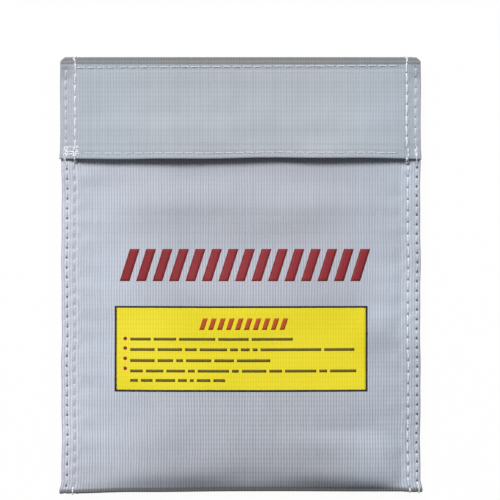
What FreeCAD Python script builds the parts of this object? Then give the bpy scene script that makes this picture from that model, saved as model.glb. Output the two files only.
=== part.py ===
"""Fire-resistant charging pouch for a rechargeable battery pack.

The pouch is a flat sewn bag of coated glass-fibre cloth with a lining, folded at the bottom, sewn down both sides
through turned-in edges, and shut by a wide flap that folds over the front and grips with hook-and-loop tape.
It lies on its back: +X across the width, +Y towards the top fold, +Z up out of the front. The origin is the middle
of its outline on the surface that it lies on. All sizes are in millimetres.
"""
import FreeCAD, Part
import math
import os

V = FreeCAD.Vector

# ---------------------------------------------------------------- driving dimensions
BODY_W = 183.6            # sewn width of the pouch
FLAP_W = 185.2            # width of the flap over its turned-in sides
Y_TOP = 111.5             # outside of the top fold
Y_BOT = -111.5            # outside of the bottom fold
T_CLOTH = 0.6             # coated outer cloth
T_LINING = 0.4            # glass-fibre lining
PLY_GAP = 0.1             # air between two plies that are not sewn together
FLANGE_W = 9.2            # width of the sewn side seam, inside it the cloth is free
Z_FLANGE = 4.0            # underside of the side seams and of both folds
SEAM_T = 3.0              # thickness of the sewn stack of plies
RISE = 7.0                # how far the front bulges above its seams
BELLY_FLAT = 0.15         # how much the back flattens where it rests
Y_MOUTH = 101.0           # free edge of the front, under the flap
Y_FLAT = 53.0             # above this the front is flat, held by the loop tape
NOSE_R = 1.5              # outside radius of the bottom fold
BACK_CREASE_R = 1.4       # outside radius of the crease between the back and the top fold
FRONT_CREASE_R = 0.9      # outside radius of the crease between the top fold and the flap
FOLD_SLANT = 24.0         # degrees that the top fold leans towards the front
HINGE_GAP = 0.38          # the cloth ends this far from the axis of the back crease

Y_HEM = 59.7              # lower edge of the flap
Z_FLAP_TOP = 10.7         # outside of the closed flap
HEM_W = 8.0               # turned-under width of the flap's lower hem
FLAP_SIDE_W = 9.2         # turned-in width of the flap's sides

TAPE_L = 165.0            # length of both tapes across the pouch
HOOK_Y0, HOOK_Y1 = 60.6, 108.0     # hook tape, on the inside of the flap
LOOP_Y0, LOOP_Y1 = 60.6, 100.6     # loop tape, on the outside of the front
TAPE_BACK_T = 0.5         # woven backing of both tapes
LOOP_PILE_T = 0.7
HOOK_PILE_T = 0.5
SELVEDGE = 3.2            # bare edge of a tape, where it is sewn

PITCH = 5.0               # stitch length
PITCH_WIDE = 5.9          # stitch length of the right inner seam
THREAD_W = 0.7
THREAD_H = 0.4
SEAM_OUTER_X = 89.8       # the two seams down each side
SEAM_INNER_X = 85.2
FLAP_TOP_STITCH_Y = 107.1
FLAP_HEM_STITCH_Y = 62.5
LOOP_STITCH_Y = (62.1, 99.1)

FILM_T = 0.1              # printed ink film
PANEL_X0, PANEL_X1 = -64.3, 65.0
PANEL_Y0, PANEL_Y1 = -59.7, -16.0
FRAME_W = 1.0             # printed line round the panel
BAND_X0, BAND_X1 = -61.8, 66.4
BAND_Y0, BAND_Y1 = -3.3, 13.1

HB = BODY_W / 2
HF = FLAP_W / 2
XF = HB - FLANGE_W
Z_TOP = Z_FLANGE + SEAM_T          # outside of the front at its seams
OUT = "parts"
os.makedirs(OUT, exist_ok=True)


# ---------------------------------------------------------------- the two bulging walls
def ramp(t):
    t = max(0.0, min(1.0, t))
    return 0.5 * (1 - math.cos(math.pi * t))


def front_along(y):
    """Share of the front's bulge at y: nothing under the flap, a broad crown, and a rounded end at the bottom fold."""
    if y >= Y_FLAT:
        return 0.0
    if y >= -5.0:
        return ramp((Y_FLAT - y) / (Y_FLAT + 5.0))
    if y >= -50.0:
        return 1.0
    return math.sqrt(max(0.0, 1 - ((-50.0 - y) / 59.4) ** 2))


def front_z(x, y):
    u = min(1.0, abs(x) / XF)
    return Z_TOP + RISE * (1 - u * u) * front_along(y)


def back_along(y):
    return ramp((y + 108.9) / 16.9) * ramp((107.3 - y) / 4.8)


def back_z(x, y):
    c = ramp((XF - abs(x)) / 30.0)
    return Z_FLANGE - (Z_FLANGE + BELLY_FLAT) * c * back_along(y)


def section(fz, y, lift, thick, half, inner, xs=None):
    """One closed section of a cloth at y. The cloth's faces are fz + lift and fz + lift + thick; beyond +-inner it is flat."""
    n = 24
    def curve(extra):
        pts = [V(-inner + 2 * inner * i / n, y, fz(-inner + 2 * inner * i / n, y) + lift + extra) for i in range(n + 1)]
        c = Part.BSplineCurve()
        c.interpolate(Points=pts, Parameters=[i / n for i in range(n + 1)])
        return c.toShape(), pts[0], pts[-1]
    top, a, b = curve(thick)
    bot, c, d = curve(0.0)
    if half > inner + 1e-6:
        zt, zb = a.z, c.z
        edges = [
            Part.makeLine(V(-half, y, zt), a), top, Part.makeLine(b, V(half, y, zt)),
            Part.makeLine(V(half, y, zt), V(half, y, zb)),
            Part.makeLine(V(half, y, zb), d), bot, Part.makeLine(c, V(-half, y, zb)),
            Part.makeLine(V(-half, y, zb), V(-half, y, zt)),
        ]
    else:
        edges = [top, Part.makeLine(b, d), bot, Part.makeLine(c, a)]
    return Part.Wire(Part.__sortEdges__(edges))


def sheet(fz, ys, lift, thick, half, inner):
    return Part.makeLoft([section(fz, y, lift, thick, half, inner) for y in ys], True, True)


FRONT_YS = [-110.0, -109.4, -108.4, -107.0, -105.0, -102.0, -98.0, -92.0, -84.0, -74.0, -62.0, -50.0, -5.0,
            2.0, 10.0, 18.0, 26.0, 34.0, 42.0, 48.0, 53.0]
BACK_YS = [-108.9, -107.0, -105.0, -103.0, -100.0, -96.0, -92.0, 102.5, 103.3, 104.2, 105.0, 105.8, 106.6, 107.3]


def box(x0, x1, y0, y1, z0, z1):
    return Part.makeBox(x1 - x0, y1 - y0, z1 - z0, V(x0, y0, z0))


def prism(points, x0, x1):
    """A Y-Z outline given as (y, z) points, extruded from x0 to x1."""
    w = Part.makePolygon([V(x0, y, z) for y, z in points] + [V(x0, *points[0])])
    return Part.Face(w).extrude(V(x1 - x0, 0, 0))


def arc_band(cy, cz, r_out, thick, a0, a1, x0, x1):
    """A bent strip of cloth round an axis along X. Angles in degrees from +Y towards +Z."""
    def p(r, a):
        return V(x0, cy + r * math.cos(math.radians(a)), cz + r * math.sin(math.radians(a)))
    r_in = r_out - thick
    am = (a0 + a1) / 2
    w = Part.Wire([
        Part.Arc(p(r_out, a0), p(r_out, am), p(r_out, a1)).toShape(),
        Part.makeLine(p(r_out, a1), p(r_in, a1)),
        Part.Arc(p(r_in, a1), p(r_in, am), p(r_in, a0)).toShape(),
        Part.makeLine(p(r_in, a0), p(r_out, a0)),
    ])
    return Part.Face(w).extrude(V(x1 - x0, 0, 0))


def stitches(start, along, normal, length, pitch=PITCH, across=None, width=THREAD_W, height=THREAD_H):
    """One sewn thread as it lies on a face: a raised stitch, then a dip where it goes through the cloth."""
    n = max(1, int(round(length / pitch)))
    p = length / n
    low = 0.06
    prof = [(0.0, 0.0)]
    for i in range(n):
        s = i * p
        prof += [(s + 0.06 * p, low), (s + 0.22 * p, height), (s + 0.78 * p, height), (s + 0.94 * p, low)]
    prof.append((length, 0.0))
    side = along.cross(normal)
    side.normalize()
    base = start - side * (width / 2)
    pts = [base + along * s + normal * h for s, h in prof]
    w = Part.makePolygon(pts + [pts[0]])
    return Part.Face(w).extrude(side * width)


def save(name, *shapes):
    shape = shapes[0] if len(shapes) == 1 else Part.makeCompound(list(shapes))
    for s in shape.Solids:
        if not s.isValid() or s.Volume <= 0:
            raise RuntimeError("%s has a bad solid, volume %.3f" % (name, s.Volume))
    shape.exportStep(os.path.join(OUT, name + ".step"))
    b = shape.BoundBox
    print("%-28s %2d solid(s) %9.1f mm3  x %.1f..%.1f  y %.1f..%.1f  z %.2f..%.2f" % (
        name, len(shape.Solids), sum(s.Volume for s in shape.Solids), b.XMin, b.XMax, b.YMin, b.YMax, b.ZMin, b.ZMax))
    return shape


# ---------------------------------------------------------------- pouch: outer cloth
front = sheet(front_z, FRONT_YS, -T_CLOTH, T_CLOTH, HB, XF)
front_top = box(-HB, HB, Y_FLAT, Y_MOUTH, Z_TOP - T_CLOTH, Z_TOP)
save("front_outer_cloth", front.fuse(front_top).removeSplitter())

back = sheet(back_z, BACK_YS, 0.0, T_CLOTH, HB, XF)
LOW_C = (Y_TOP - BACK_CREASE_R, Z_FLANGE + BACK_CREASE_R)    # centre of the back crease
LOW_MID = (FOLD_SLANT - 90) / 2                              # direction from it to the crease's axis
GAP_DEG = math.degrees(HINGE_GAP / (BACK_CREASE_R - T_CLOTH / 2))
back = back.fuse([
    box(-HB, HB, -110.0, BACK_YS[0], Z_FLANGE, Z_FLANGE + T_CLOTH),
    box(-HB, HB, BACK_YS[-1], LOW_C[0], Z_FLANGE, Z_FLANGE + T_CLOTH),
])
back = back.fuse(arc_band(LOW_C[0], LOW_C[1], BACK_CREASE_R, T_CLOTH, -90, LOW_MID - GAP_DEG, -HB, HB))
back = back.cut(box(-HB - 1, HB + 1, -120, 120, -5, 0)).removeSplitter()
save("back_outer_cloth", back)

save("bottom_fold_cloth", arc_band(-110.0, Z_FLANGE + NOSE_R, NOSE_R, T_CLOTH, 90, 270, -HB, HB))

# ---------------------------------------------------------------- pouch: lining and turned-in edges
LIN = T_CLOTH + PLY_GAP
lining_ys_f = [y for y in FRONT_YS if y > -108.5]
lf = sheet(front_z, lining_ys_f, -LIN - T_LINING, T_LINING, HB - 1.4, XF)
lf = lf.fuse(box(-HB + 1.4, HB - 1.4, Y_FLAT, 92.4, Z_TOP - LIN - T_LINING, Z_TOP - LIN)).removeSplitter()
save("front_lining", lf)
lining_ys_b = [y for y in BACK_YS if y > -108.0 and y < 106.5]
save("back_lining", sheet(back_z, lining_ys_b, LIN, T_LINING, HB - 1.4, XF))
za, zb_ = Z_FLANGE + LIN + T_LINING, Z_TOP - LIN - T_LINING
save("left_seam_allowance", box(-HB + 0.1, -XF, -108.4, 92.4, za, zb_))
save("right_seam_allowance", box(XF, HB - 0.1, -108.4, 92.4, za, zb_))
save("mouth_hem", box(-XF + 0.5, XF - 0.5, 92.9, Y_MOUTH, Z_TOP - 2 * T_CLOTH, Z_TOP - T_CLOTH))

# ---------------------------------------------------------------- loop tape on the front
zl = Z_TOP
save("loop_tape", prism([
    (LOOP_Y0, zl), (LOOP_Y1, zl), (LOOP_Y1, zl + TAPE_BACK_T), (LOOP_Y1 - SELVEDGE, zl + TAPE_BACK_T),
    (LOOP_Y1 - SELVEDGE, zl + TAPE_BACK_T + LOOP_PILE_T), (LOOP_Y0 + SELVEDGE, zl + TAPE_BACK_T + LOOP_PILE_T),
    (LOOP_Y0 + SELVEDGE, zl + TAPE_BACK_T), (LOOP_Y0, zl + TAPE_BACK_T)], -TAPE_L / 2, TAPE_L / 2))

# ---------------------------------------------------------------- flap
z1 = Z_FLAP_TOP
z0 = z1 - T_CLOTH
ca, sa = math.cos(math.radians(FOLD_SLANT)), math.sin(math.radians(FOLD_SLANT))
WALL_LOW = (LOW_C[0] + BACK_CREASE_R * ca, LOW_C[1] + BACK_CREASE_R * sa)      # outside of the top fold, its lower end
WALL_TOP_Z = Z_FLAP_TOP - FRONT_CREASE_R * (1 - sa)
WALL_TOP = (WALL_LOW[0] - (WALL_TOP_Z - WALL_LOW[1]) * sa / ca, WALL_TOP_Z)    # and its upper end
UP_C = (WALL_TOP[0] - FRONT_CREASE_R * ca, Z_FLAP_TOP - FRONT_CREASE_R)        # centre of the front crease
LOW_AXIS = tuple(c + (BACK_CREASE_R - T_CLOTH / 2) * f(math.radians(LOW_MID)) for c, f in zip(LOW_C, (math.cos, math.sin)))
UP_AXIS = tuple(c + (FRONT_CREASE_R - T_CLOTH / 2) * f(math.radians((FOLD_SLANT + 90) / 2)) for c, f in zip(UP_C, (math.cos, math.sin)))
print("crease axes (y, z): back %.4f %.4f  front %.4f %.4f" % (LOW_AXIS + UP_AXIS))
save("flap_outer_cloth", box(-HF, HF, Y_HEM, UP_C[0], z0, z1))
save("flap_left_hem", box(-HF, -HF + FLAP_SIDE_W, Y_HEM, UP_C[0], z0 - T_CLOTH, z0))
save("flap_right_hem", box(HF - FLAP_SIDE_W, HF, Y_HEM, UP_C[0], z0 - T_CLOTH, z0))
xi = HF - FLAP_SIDE_W
save("flap_lower_hem", box(-xi, xi, Y_HEM, Y_HEM + HEM_W, z0 - T_CLOTH, z0))
save("flap_lining", box(-xi + 0.3, xi - 0.3, Y_HEM + HEM_W + 0.3, UP_C[0] - 0.3, z0 - T_LINING, z0))
zh = z0 - T_CLOTH                                    # the hook tape lies against the hems
save("hook_tape", prism([
    (HOOK_Y0, zh), (HOOK_Y0, zh - TAPE_BACK_T), (HOOK_Y0 + SELVEDGE, zh - TAPE_BACK_T),
    (HOOK_Y0 + SELVEDGE, zh - TAPE_BACK_T - HOOK_PILE_T), (HOOK_Y1 - SELVEDGE, zh - TAPE_BACK_T - HOOK_PILE_T),
    (HOOK_Y1 - SELVEDGE, zh - TAPE_BACK_T), (HOOK_Y1, zh - TAPE_BACK_T), (HOOK_Y1, zh)], -TAPE_L / 2, TAPE_L / 2))

# ---------------------------------------------------------------- fold strip: the outer cloth and lining between the two creases
def wall_point(t, depth):
    """A point t along the slanted top fold from its lower end, depth inside its outer face, as (y, z)."""
    return (WALL_LOW[0] - t * sa - depth * ca, WALL_LOW[1] + t * ca - depth * sa)


WALL_L = math.hypot(WALL_TOP[0] - WALL_LOW[0], WALL_TOP[1] - WALL_LOW[1])
strip = prism([wall_point(0, 0), wall_point(WALL_L, 0), wall_point(WALL_L, T_CLOTH), wall_point(0, T_CLOTH)], -HB, HB)
strip = strip.fuse(arc_band(LOW_C[0], LOW_C[1], BACK_CREASE_R, T_CLOTH, LOW_MID + GAP_DEG, FOLD_SLANT, -HB, HB))
save("top_fold_cloth", strip.removeSplitter())
d0, d1 = T_CLOTH + PLY_GAP, T_CLOTH + PLY_GAP + T_LINING
save("top_fold_lining", prism([wall_point(0.6, d0), wall_point(WALL_L - 1.0, d0), wall_point(WALL_L - 1.0, d1),
                               wall_point(0.6, d1)], -XF, XF))

# ---------------------------------------------------------------- sewing thread
UPV, DNV = V(0, 0, 1), V(0, 0, -1)
AY, AX = V(0, 1, 0), V(1, 0, 0)
seam_y0 = -109.6
for side, sx in (("left", -1), ("right", 1)):
    for which, x, pitch in (("outer", SEAM_OUTER_X, PITCH), ("inner", SEAM_INNER_X, PITCH_WIDE if side == "right" else PITCH)):
        save("%s_%s_seam_front_thread" % (side, which),
             stitches(V(sx * x, seam_y0, Z_TOP), AY, UPV, 100.0 - seam_y0, pitch))
        save("%s_%s_seam_back_thread" % (side, which),
             stitches(V(sx * x, seam_y0, Z_FLANGE), AY, DNV, 107.6 - seam_y0, pitch))
        save("flap_%s_%s_thread" % (side, which),
             stitches(V(sx * (x + 0.4), Y_HEM + 0.6, z1), AY, UPV, UP_C[0] - Y_HEM - 0.8, pitch),
             stitches(V(sx * (x + 0.4), Y_HEM + 0.6, zh), AY, DNV, UP_C[0] - Y_HEM - 0.8, pitch))
for name, y in (("loop_tape_lower_thread", LOOP_STITCH_Y[0]), ("loop_tape_upper_thread", LOOP_STITCH_Y[1])):
    save(name, stitches(V(-TAPE_L / 2 + 0.8, y, Z_TOP + TAPE_BACK_T), AX, UPV, TAPE_L - 1.6))
for name, y in (("flap_top_thread", FLAP_TOP_STITCH_Y), ("flap_hem_thread", FLAP_HEM_STITCH_Y)):
    save(name,
         stitches(V(-82.4, y, z1), AX, UPV, 2 * 82.4),
         stitches(V(-82.0, y, zh - TAPE_BACK_T), AX, DNV, 2 * 82.0))
for side, sx in (("left", -1), ("right", 1)):
    rows = []
    for i in range(4):                               # back-tacked corner of the flap, between its two seams
        y = Y_HEM + 1.5 + 1.7 * i
        rows.append(stitches(V(sx * 87.8 - 1.7, y, z1), AX, UPV, 3.4, 3.4))
    save("flap_%s_corner_tack" % side, *rows)
for side, sx in (("left", -1), ("right", 1)):
    save("top_fold_%s_threads" % side, *[
        prism([wall_point(0.3, 0), wall_point(WALL_L - 0.3, 0), wall_point(WALL_L - 0.7, -0.35), wall_point(0.7, -0.35)],
              sx * x - THREAD_W / 2, sx * x + THREAD_W / 2)
        for x in (SEAM_INNER_X, SEAM_OUTER_X)])
for side, sx in (("left", -1), ("right", 1)):
    save("bottom_fold_%s_threads" % side, *[
        arc_band(-110.0, Z_FLANGE + NOSE_R, NOSE_R + 0.35, 0.35, 150, 210, sx * x - THREAD_W / 2, sx * x + THREAD_W / 2)
        for x in (SEAM_INNER_X, SEAM_OUTER_X)])


# ---------------------------------------------------------------- printing on the front
def film(x0, x1, y0, y1, lift):
    """A printed film that follows the bulging front."""
    ys = sorted({y0, y1} | {y for y in FRONT_YS if y0 < y < y1})
    n = 16
    wires = []
    for y in ys:
        lines = []
        for extra in (FILM_T, 0.0):
            pts = [V(x0 + (x1 - x0) * i / n, y, front_z(x0 + (x1 - x0) * i / n, y) + lift + extra) for i in range(n + 1)]
            c = Part.BSplineCurve()
            c.interpolate(Points=pts, Parameters=[i / n for i in range(n + 1)])
            lines.append((c.toShape(), pts[0], pts[-1]))
        (t, a, b), (u, c0, d) = lines
        wires.append(Part.Wire(Part.__sortEdges__([t, Part.makeLine(b, d), u, Part.makeLine(c0, a)])))
    return Part.makeLoft(wires, True, True)


L1, L2 = 0.06, 0.22
panel = film(PANEL_X0, PANEL_X1, PANEL_Y0, PANEL_Y1, L1)
hole = box(PANEL_X0 + FRAME_W, PANEL_X1 - FRAME_W, PANEL_Y0 + FRAME_W, PANEL_Y1 - FRAME_W, 0, 40)
save("print_panel", panel.common(box(PANEL_X0 + FRAME_W + 0.02, PANEL_X1 - FRAME_W - 0.02,
                                     PANEL_Y0 + FRAME_W + 0.02, PANEL_Y1 - FRAME_W - 0.02, 0, 40)))
save("print_panel_frame", panel.cut(hole))


def bars(x0, x1, y0, y1, lift, spans, lean=0.0):
    """Plain bars cut from one film. spans are (start, end) along x; lean shifts their tops sideways."""
    wide = film(x0, x1, y0, y1, lift)
    cutters = []
    for a, b in spans:
        w = Part.makePolygon([V(a, y0, 0), V(b, y0, 0), V(b + lean, y1, 0), V(a + lean, y1, 0), V(a, y0, 0)])
        cutters.append(Part.Face(w).extrude(V(0, 0, 40)))
    got = wide.common(Part.makeCompound(cutters))
    return list(got.Solids)


# a plain band of slanted bars above the panel
lean = 5.2
n_bars = 15
step = (BAND_X1 - BAND_X0 - lean + 3.4) / n_bars
red = bars(BAND_X0, BAND_X1, BAND_Y0, BAND_Y1, L1,
           [(BAND_X0 + i * step, BAND_X0 + i * step + step - 3.4) for i in range(n_bars)], lean)
# inside the panel: a short row of slanted bars, four dots, and plain broken lines, with no lettering
red += bars(-21.0, 26.2, -28.1, -22.2, L2, [(-21.0 + 4.55 * i, -21.0 + 4.55 * i + 2.5) for i in range(10)], 1.9)
dot_film = film(-60.4, -57.4, -50.0, -30.5, L2)
red += list(dot_film.common(Part.makeCompound(
    [Part.makeCylinder(0.95, 40, V(-58.9, y, 0)) for y in (-32.6, -37.5, -42.7, -47.8)])).Solids)
save("print_red_marks", *red)
LINES = [
    (-32.9, -56.3, (10.5, 11.5, 18.5, 15.5, 21.0)),
    (-38.2, -56.3, (12.5, 12.5, 6.0, 14.0, 4.0, 4.5, 2.5, 31.0, 15.5)),
    (-43.8, -56.3, (12.5, 8.0, 3.5, 13.0, 10.0, 17.0)),
    (-49.1, -56.3, (6.5, 9.0, 9.5, 3.5, 16.0, 3.5, 12.5, 6.5, 16.0, 4.0, 13.5)),
    (-53.9, -56.3, (4.0, 6.0, 10.0, 4.5, 2.0, 7.0, 6.0)),
]
black = []
for y, x, words in LINES:
    spans = []
    for w in words:
        spans.append((x, x + w))
        x += w + 1.5
    black += bars(spans[0][0], spans[-1][1], y - 0.75, y + 0.75, L2, spans)
save("print_black_marks", *black)
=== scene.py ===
"""The looks of a fire-resistant battery pouch: silver coated cloth with a ribbed weave, coarse white stitching, a
hook-and-loop flap and plain printed marks. Lengths inside the helpers are in millimetres; meshes are made in metres."""
import math
import bpy
import numpy as np
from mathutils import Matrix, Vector


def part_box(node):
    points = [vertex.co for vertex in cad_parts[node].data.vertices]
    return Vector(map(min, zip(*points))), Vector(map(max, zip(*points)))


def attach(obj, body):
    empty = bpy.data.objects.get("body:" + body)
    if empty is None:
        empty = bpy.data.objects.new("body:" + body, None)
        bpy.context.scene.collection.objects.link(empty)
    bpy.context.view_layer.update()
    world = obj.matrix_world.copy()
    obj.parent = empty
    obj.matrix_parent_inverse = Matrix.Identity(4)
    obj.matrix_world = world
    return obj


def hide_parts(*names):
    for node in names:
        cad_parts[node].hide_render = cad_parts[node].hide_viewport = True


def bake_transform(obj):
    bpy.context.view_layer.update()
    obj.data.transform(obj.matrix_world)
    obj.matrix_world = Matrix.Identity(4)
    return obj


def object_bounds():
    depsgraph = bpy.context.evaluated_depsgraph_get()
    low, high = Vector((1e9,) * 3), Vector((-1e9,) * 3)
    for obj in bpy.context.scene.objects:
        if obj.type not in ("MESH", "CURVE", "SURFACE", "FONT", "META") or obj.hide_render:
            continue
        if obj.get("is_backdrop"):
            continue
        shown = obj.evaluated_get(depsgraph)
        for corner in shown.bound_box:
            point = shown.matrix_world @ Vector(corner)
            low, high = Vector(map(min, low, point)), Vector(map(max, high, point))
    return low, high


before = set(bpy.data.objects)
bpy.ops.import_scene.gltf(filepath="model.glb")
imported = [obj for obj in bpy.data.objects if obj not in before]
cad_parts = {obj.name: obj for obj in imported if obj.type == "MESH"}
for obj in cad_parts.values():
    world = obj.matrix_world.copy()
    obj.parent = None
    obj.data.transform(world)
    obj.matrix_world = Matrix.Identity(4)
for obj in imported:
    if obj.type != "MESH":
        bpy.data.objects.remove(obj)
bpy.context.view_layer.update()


def mm(node):
    lo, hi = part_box(node)
    return [v * 1000 for v in lo], [v * 1000 for v in hi]


# ------------------------------------------------------------------ sizes, from the CAD boxes
_lo, _hi = mm("bottom_fold_cloth")
HB, Y_BOT, Z_BACK, Z_FRONT = _hi[0], _lo[1], _lo[2], _hi[2]
Y_TOP = mm("top_fold_cloth")[1][1]
Y_MOUTH = mm("front_outer_cloth")[1][1]
_lo, _hi = mm("flap_outer_cloth")
HF, Y_HEM, Z_FLAP = _hi[0], _lo[1], _hi[2]
HEM_Y1 = mm("flap_lower_hem")[1][1]
XF = -mm("flap_lower_hem")[0][0] - 0.8           # the free cloth reaches this far out
ZC = (Z_BACK + Z_FRONT) / 2
NOSE_R = (Z_FRONT - Z_BACK) / 2
NOSE_RY = 2.2
Y_NOSE = Y_BOT + NOSE_RY
R1, R2, SLANT = 1.4, 0.9, math.radians(24.0)     # the two creases of the top fold and its lean
C1 = (Y_TOP - R1, Z_BACK + R1)
CA, SA = math.cos(SLANT), math.sin(SLANT)
W0 = (C1[0] + R1 * CA, C1[1] + R1 * SA)
WZ = Z_FLAP - R2 * (1 - SA)
W1 = (W0[0] - (WZ - W0[1]) * SA / CA, WZ)
WALL = math.hypot(W1[0] - W0[0], W1[1] - W0[1])
C2 = (W1[0] - R2 * CA, Z_FLAP - R2)
ROWS_X = {"outer": 89.8, "inner": 85.2}


# ------------------------------------------------------------------ small maths
def ss(t):
    t = np.clip(t, 0, 1)
    return t * t * (3 - 2 * t)


def ramp(t):
    return 0.5 - 0.5 * np.cos(np.pi * np.clip(t, 0, 1))


def waves(x, y, length, seed, n=9):
    r = np.random.default_rng(seed)
    a = r.uniform(0, 2 * np.pi, n)
    k = 2 * np.pi / (length * r.uniform(0.7, 1.5, n))
    p = r.uniform(0, 2 * np.pi, n)
    out = 0
    for i in range(n):
        out = out + np.sin(k[i] * (np.cos(a[i]) * x + np.sin(a[i]) * y) + p[i])
    return out / math.sqrt(n / 2)


def unit(v):
    return v / np.maximum(np.linalg.norm(v, axis=-1, keepdims=True), 1e-12)


# ------------------------------------------------------------------ meshes
def mesh_object(name, verts, quads, tris=None, uv=None, mats=(), slots=None):
    """An object from points in millimetres and arrays of faces. uv is one pair a point, slots one material index a face."""
    verts = np.asarray(verts, np.float64).reshape(-1, 3) * 0.001
    quads = np.asarray(quads, np.int32).reshape(-1, 4)
    tris = np.zeros((0, 3), np.int32) if tris is None else np.asarray(tris, np.int32).reshape(-1, 3)
    m = bpy.data.meshes.new(name)
    m.vertices.add(len(verts))
    m.vertices.foreach_set("co", verts.astype(np.float32).ravel())
    loops = np.concatenate([quads.ravel(), tris.ravel()])
    m.loops.add(len(loops))
    m.loops.foreach_set("vertex_index", loops)
    m.polygons.add(len(quads) + len(tris))
    starts = np.concatenate([np.arange(len(quads)) * 4, len(quads) * 4 + np.arange(len(tris)) * 3]).astype(np.int32)
    m.polygons.foreach_set("loop_start", starts)
    if slots is not None:
        m.polygons.foreach_set("material_index", np.asarray(slots, np.int32))
    m.update(calc_edges=True)
    m.validate()
    if uv is not None:
        layer = m.uv_layers.new(name="cloth")
        idx = np.zeros(len(m.loops), np.int32)
        m.loops.foreach_get("vertex_index", idx)
        layer.data.foreach_set("uv", np.asarray(uv, np.float32)[idx].ravel())
    m.shade_smooth()
    for k in mats:
        m.materials.append(k)
    o = bpy.data.objects.new(name, m)
    bpy.context.scene.collection.objects.link(o)
    return o


def grid_faces(r, c, base=0, flip=False):
    i = np.arange(r * c).reshape(r, c) + base
    q = np.stack([i[:-1, :-1], i[:-1, 1:], i[1:, 1:], i[1:, :-1]], -1).reshape(-1, 4)
    return q[:, ::-1] if flip else q


def sharpen(o, rows):
    """Sharp edges along the given runs of point numbers."""
    e = np.zeros(len(o.data.edges) * 2, np.int32)
    o.data.edges.foreach_get("vertices", e)
    e = e.reshape(-1, 2)
    mark = np.zeros(len(e), bool)
    for row in rows:
        inside = np.zeros(len(o.data.vertices), bool)
        inside[row] = True
        mark |= inside[e[:, 0]] & inside[e[:, 1]]
    o.data.edges.foreach_set("use_edge_sharp", mark)
    o.data.update()


def two_layers(name, up, low, uv, mats, low_slot=None, up_slot=0, uv_low=None):
    """A closed sheet from its upper and lower faces, both (rows, columns, 3), joined round the rim."""
    r, c = up.shape[:2]
    n = r * c
    i, j = np.arange(n).reshape(r, c), np.arange(n).reshape(r, c) + n
    top, bot = grid_faces(r, c), grid_faces(r, c, n, True)
    rim = []
    for a, b in ((i[0], j[0]), (i[-1][::-1], j[-1][::-1]), (i[:, 0][::-1], j[:, 0][::-1]), (i[:, -1], j[:, -1])):
        rim.append(np.stack([a[:-1], b[:-1], b[1:], a[1:]], -1))
    rim = np.concatenate(rim)
    quads = np.concatenate([top, bot, rim])
    slots = np.zeros(len(quads), np.int32)
    if low_slot is not None:
        slots[len(top):len(top) + len(bot)] = low_slot
    if np.ndim(up_slot):
        slots[:len(top)] = up_slot
    return mesh_object(name, np.concatenate([up.reshape(-1, 3), low.reshape(-1, 3)]), quads,
                       uv=np.concatenate([uv.reshape(-1, 2), (uv if uv_low is None else uv_low).reshape(-1, 2)]),
                       mats=mats, slots=slots)


def normals_of(p):
    return unit(np.cross(np.gradient(p, axis=0), np.gradient(p, axis=1)))


class Surface:
    """A finished face of a cloth, which other pieces lie on. x and v are flat cloth coordinates."""

    def __init__(self, xs, vs, points, sign=1.0):
        self.xs, self.vs, self.p = xs, vs, points
        self.n = normals_of(points) * sign

    def at(self, x, v, lift=0.0):
        x, v = np.broadcast_arrays(np.asarray(x, float), np.asarray(v, float))
        fx = np.interp(x, self.xs, np.arange(len(self.xs)))
        fv = np.interp(v, self.vs, np.arange(len(self.vs)))
        i, j = np.minimum(fv.astype(int), len(self.vs) - 2), np.minimum(fx.astype(int), len(self.xs) - 2)
        a, b = (fv - i)[..., None], (fx - j)[..., None]

        def mix(g):
            return (1 - a) * ((1 - b) * g[i, j] + b * g[i, j + 1]) + a * ((1 - b) * g[i + 1, j] + b * g[i + 1, j + 1])
        n = unit(mix(self.n))
        return mix(self.p) + n * (np.asarray(lift, float)[..., None] if np.ndim(lift) else lift), n


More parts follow.
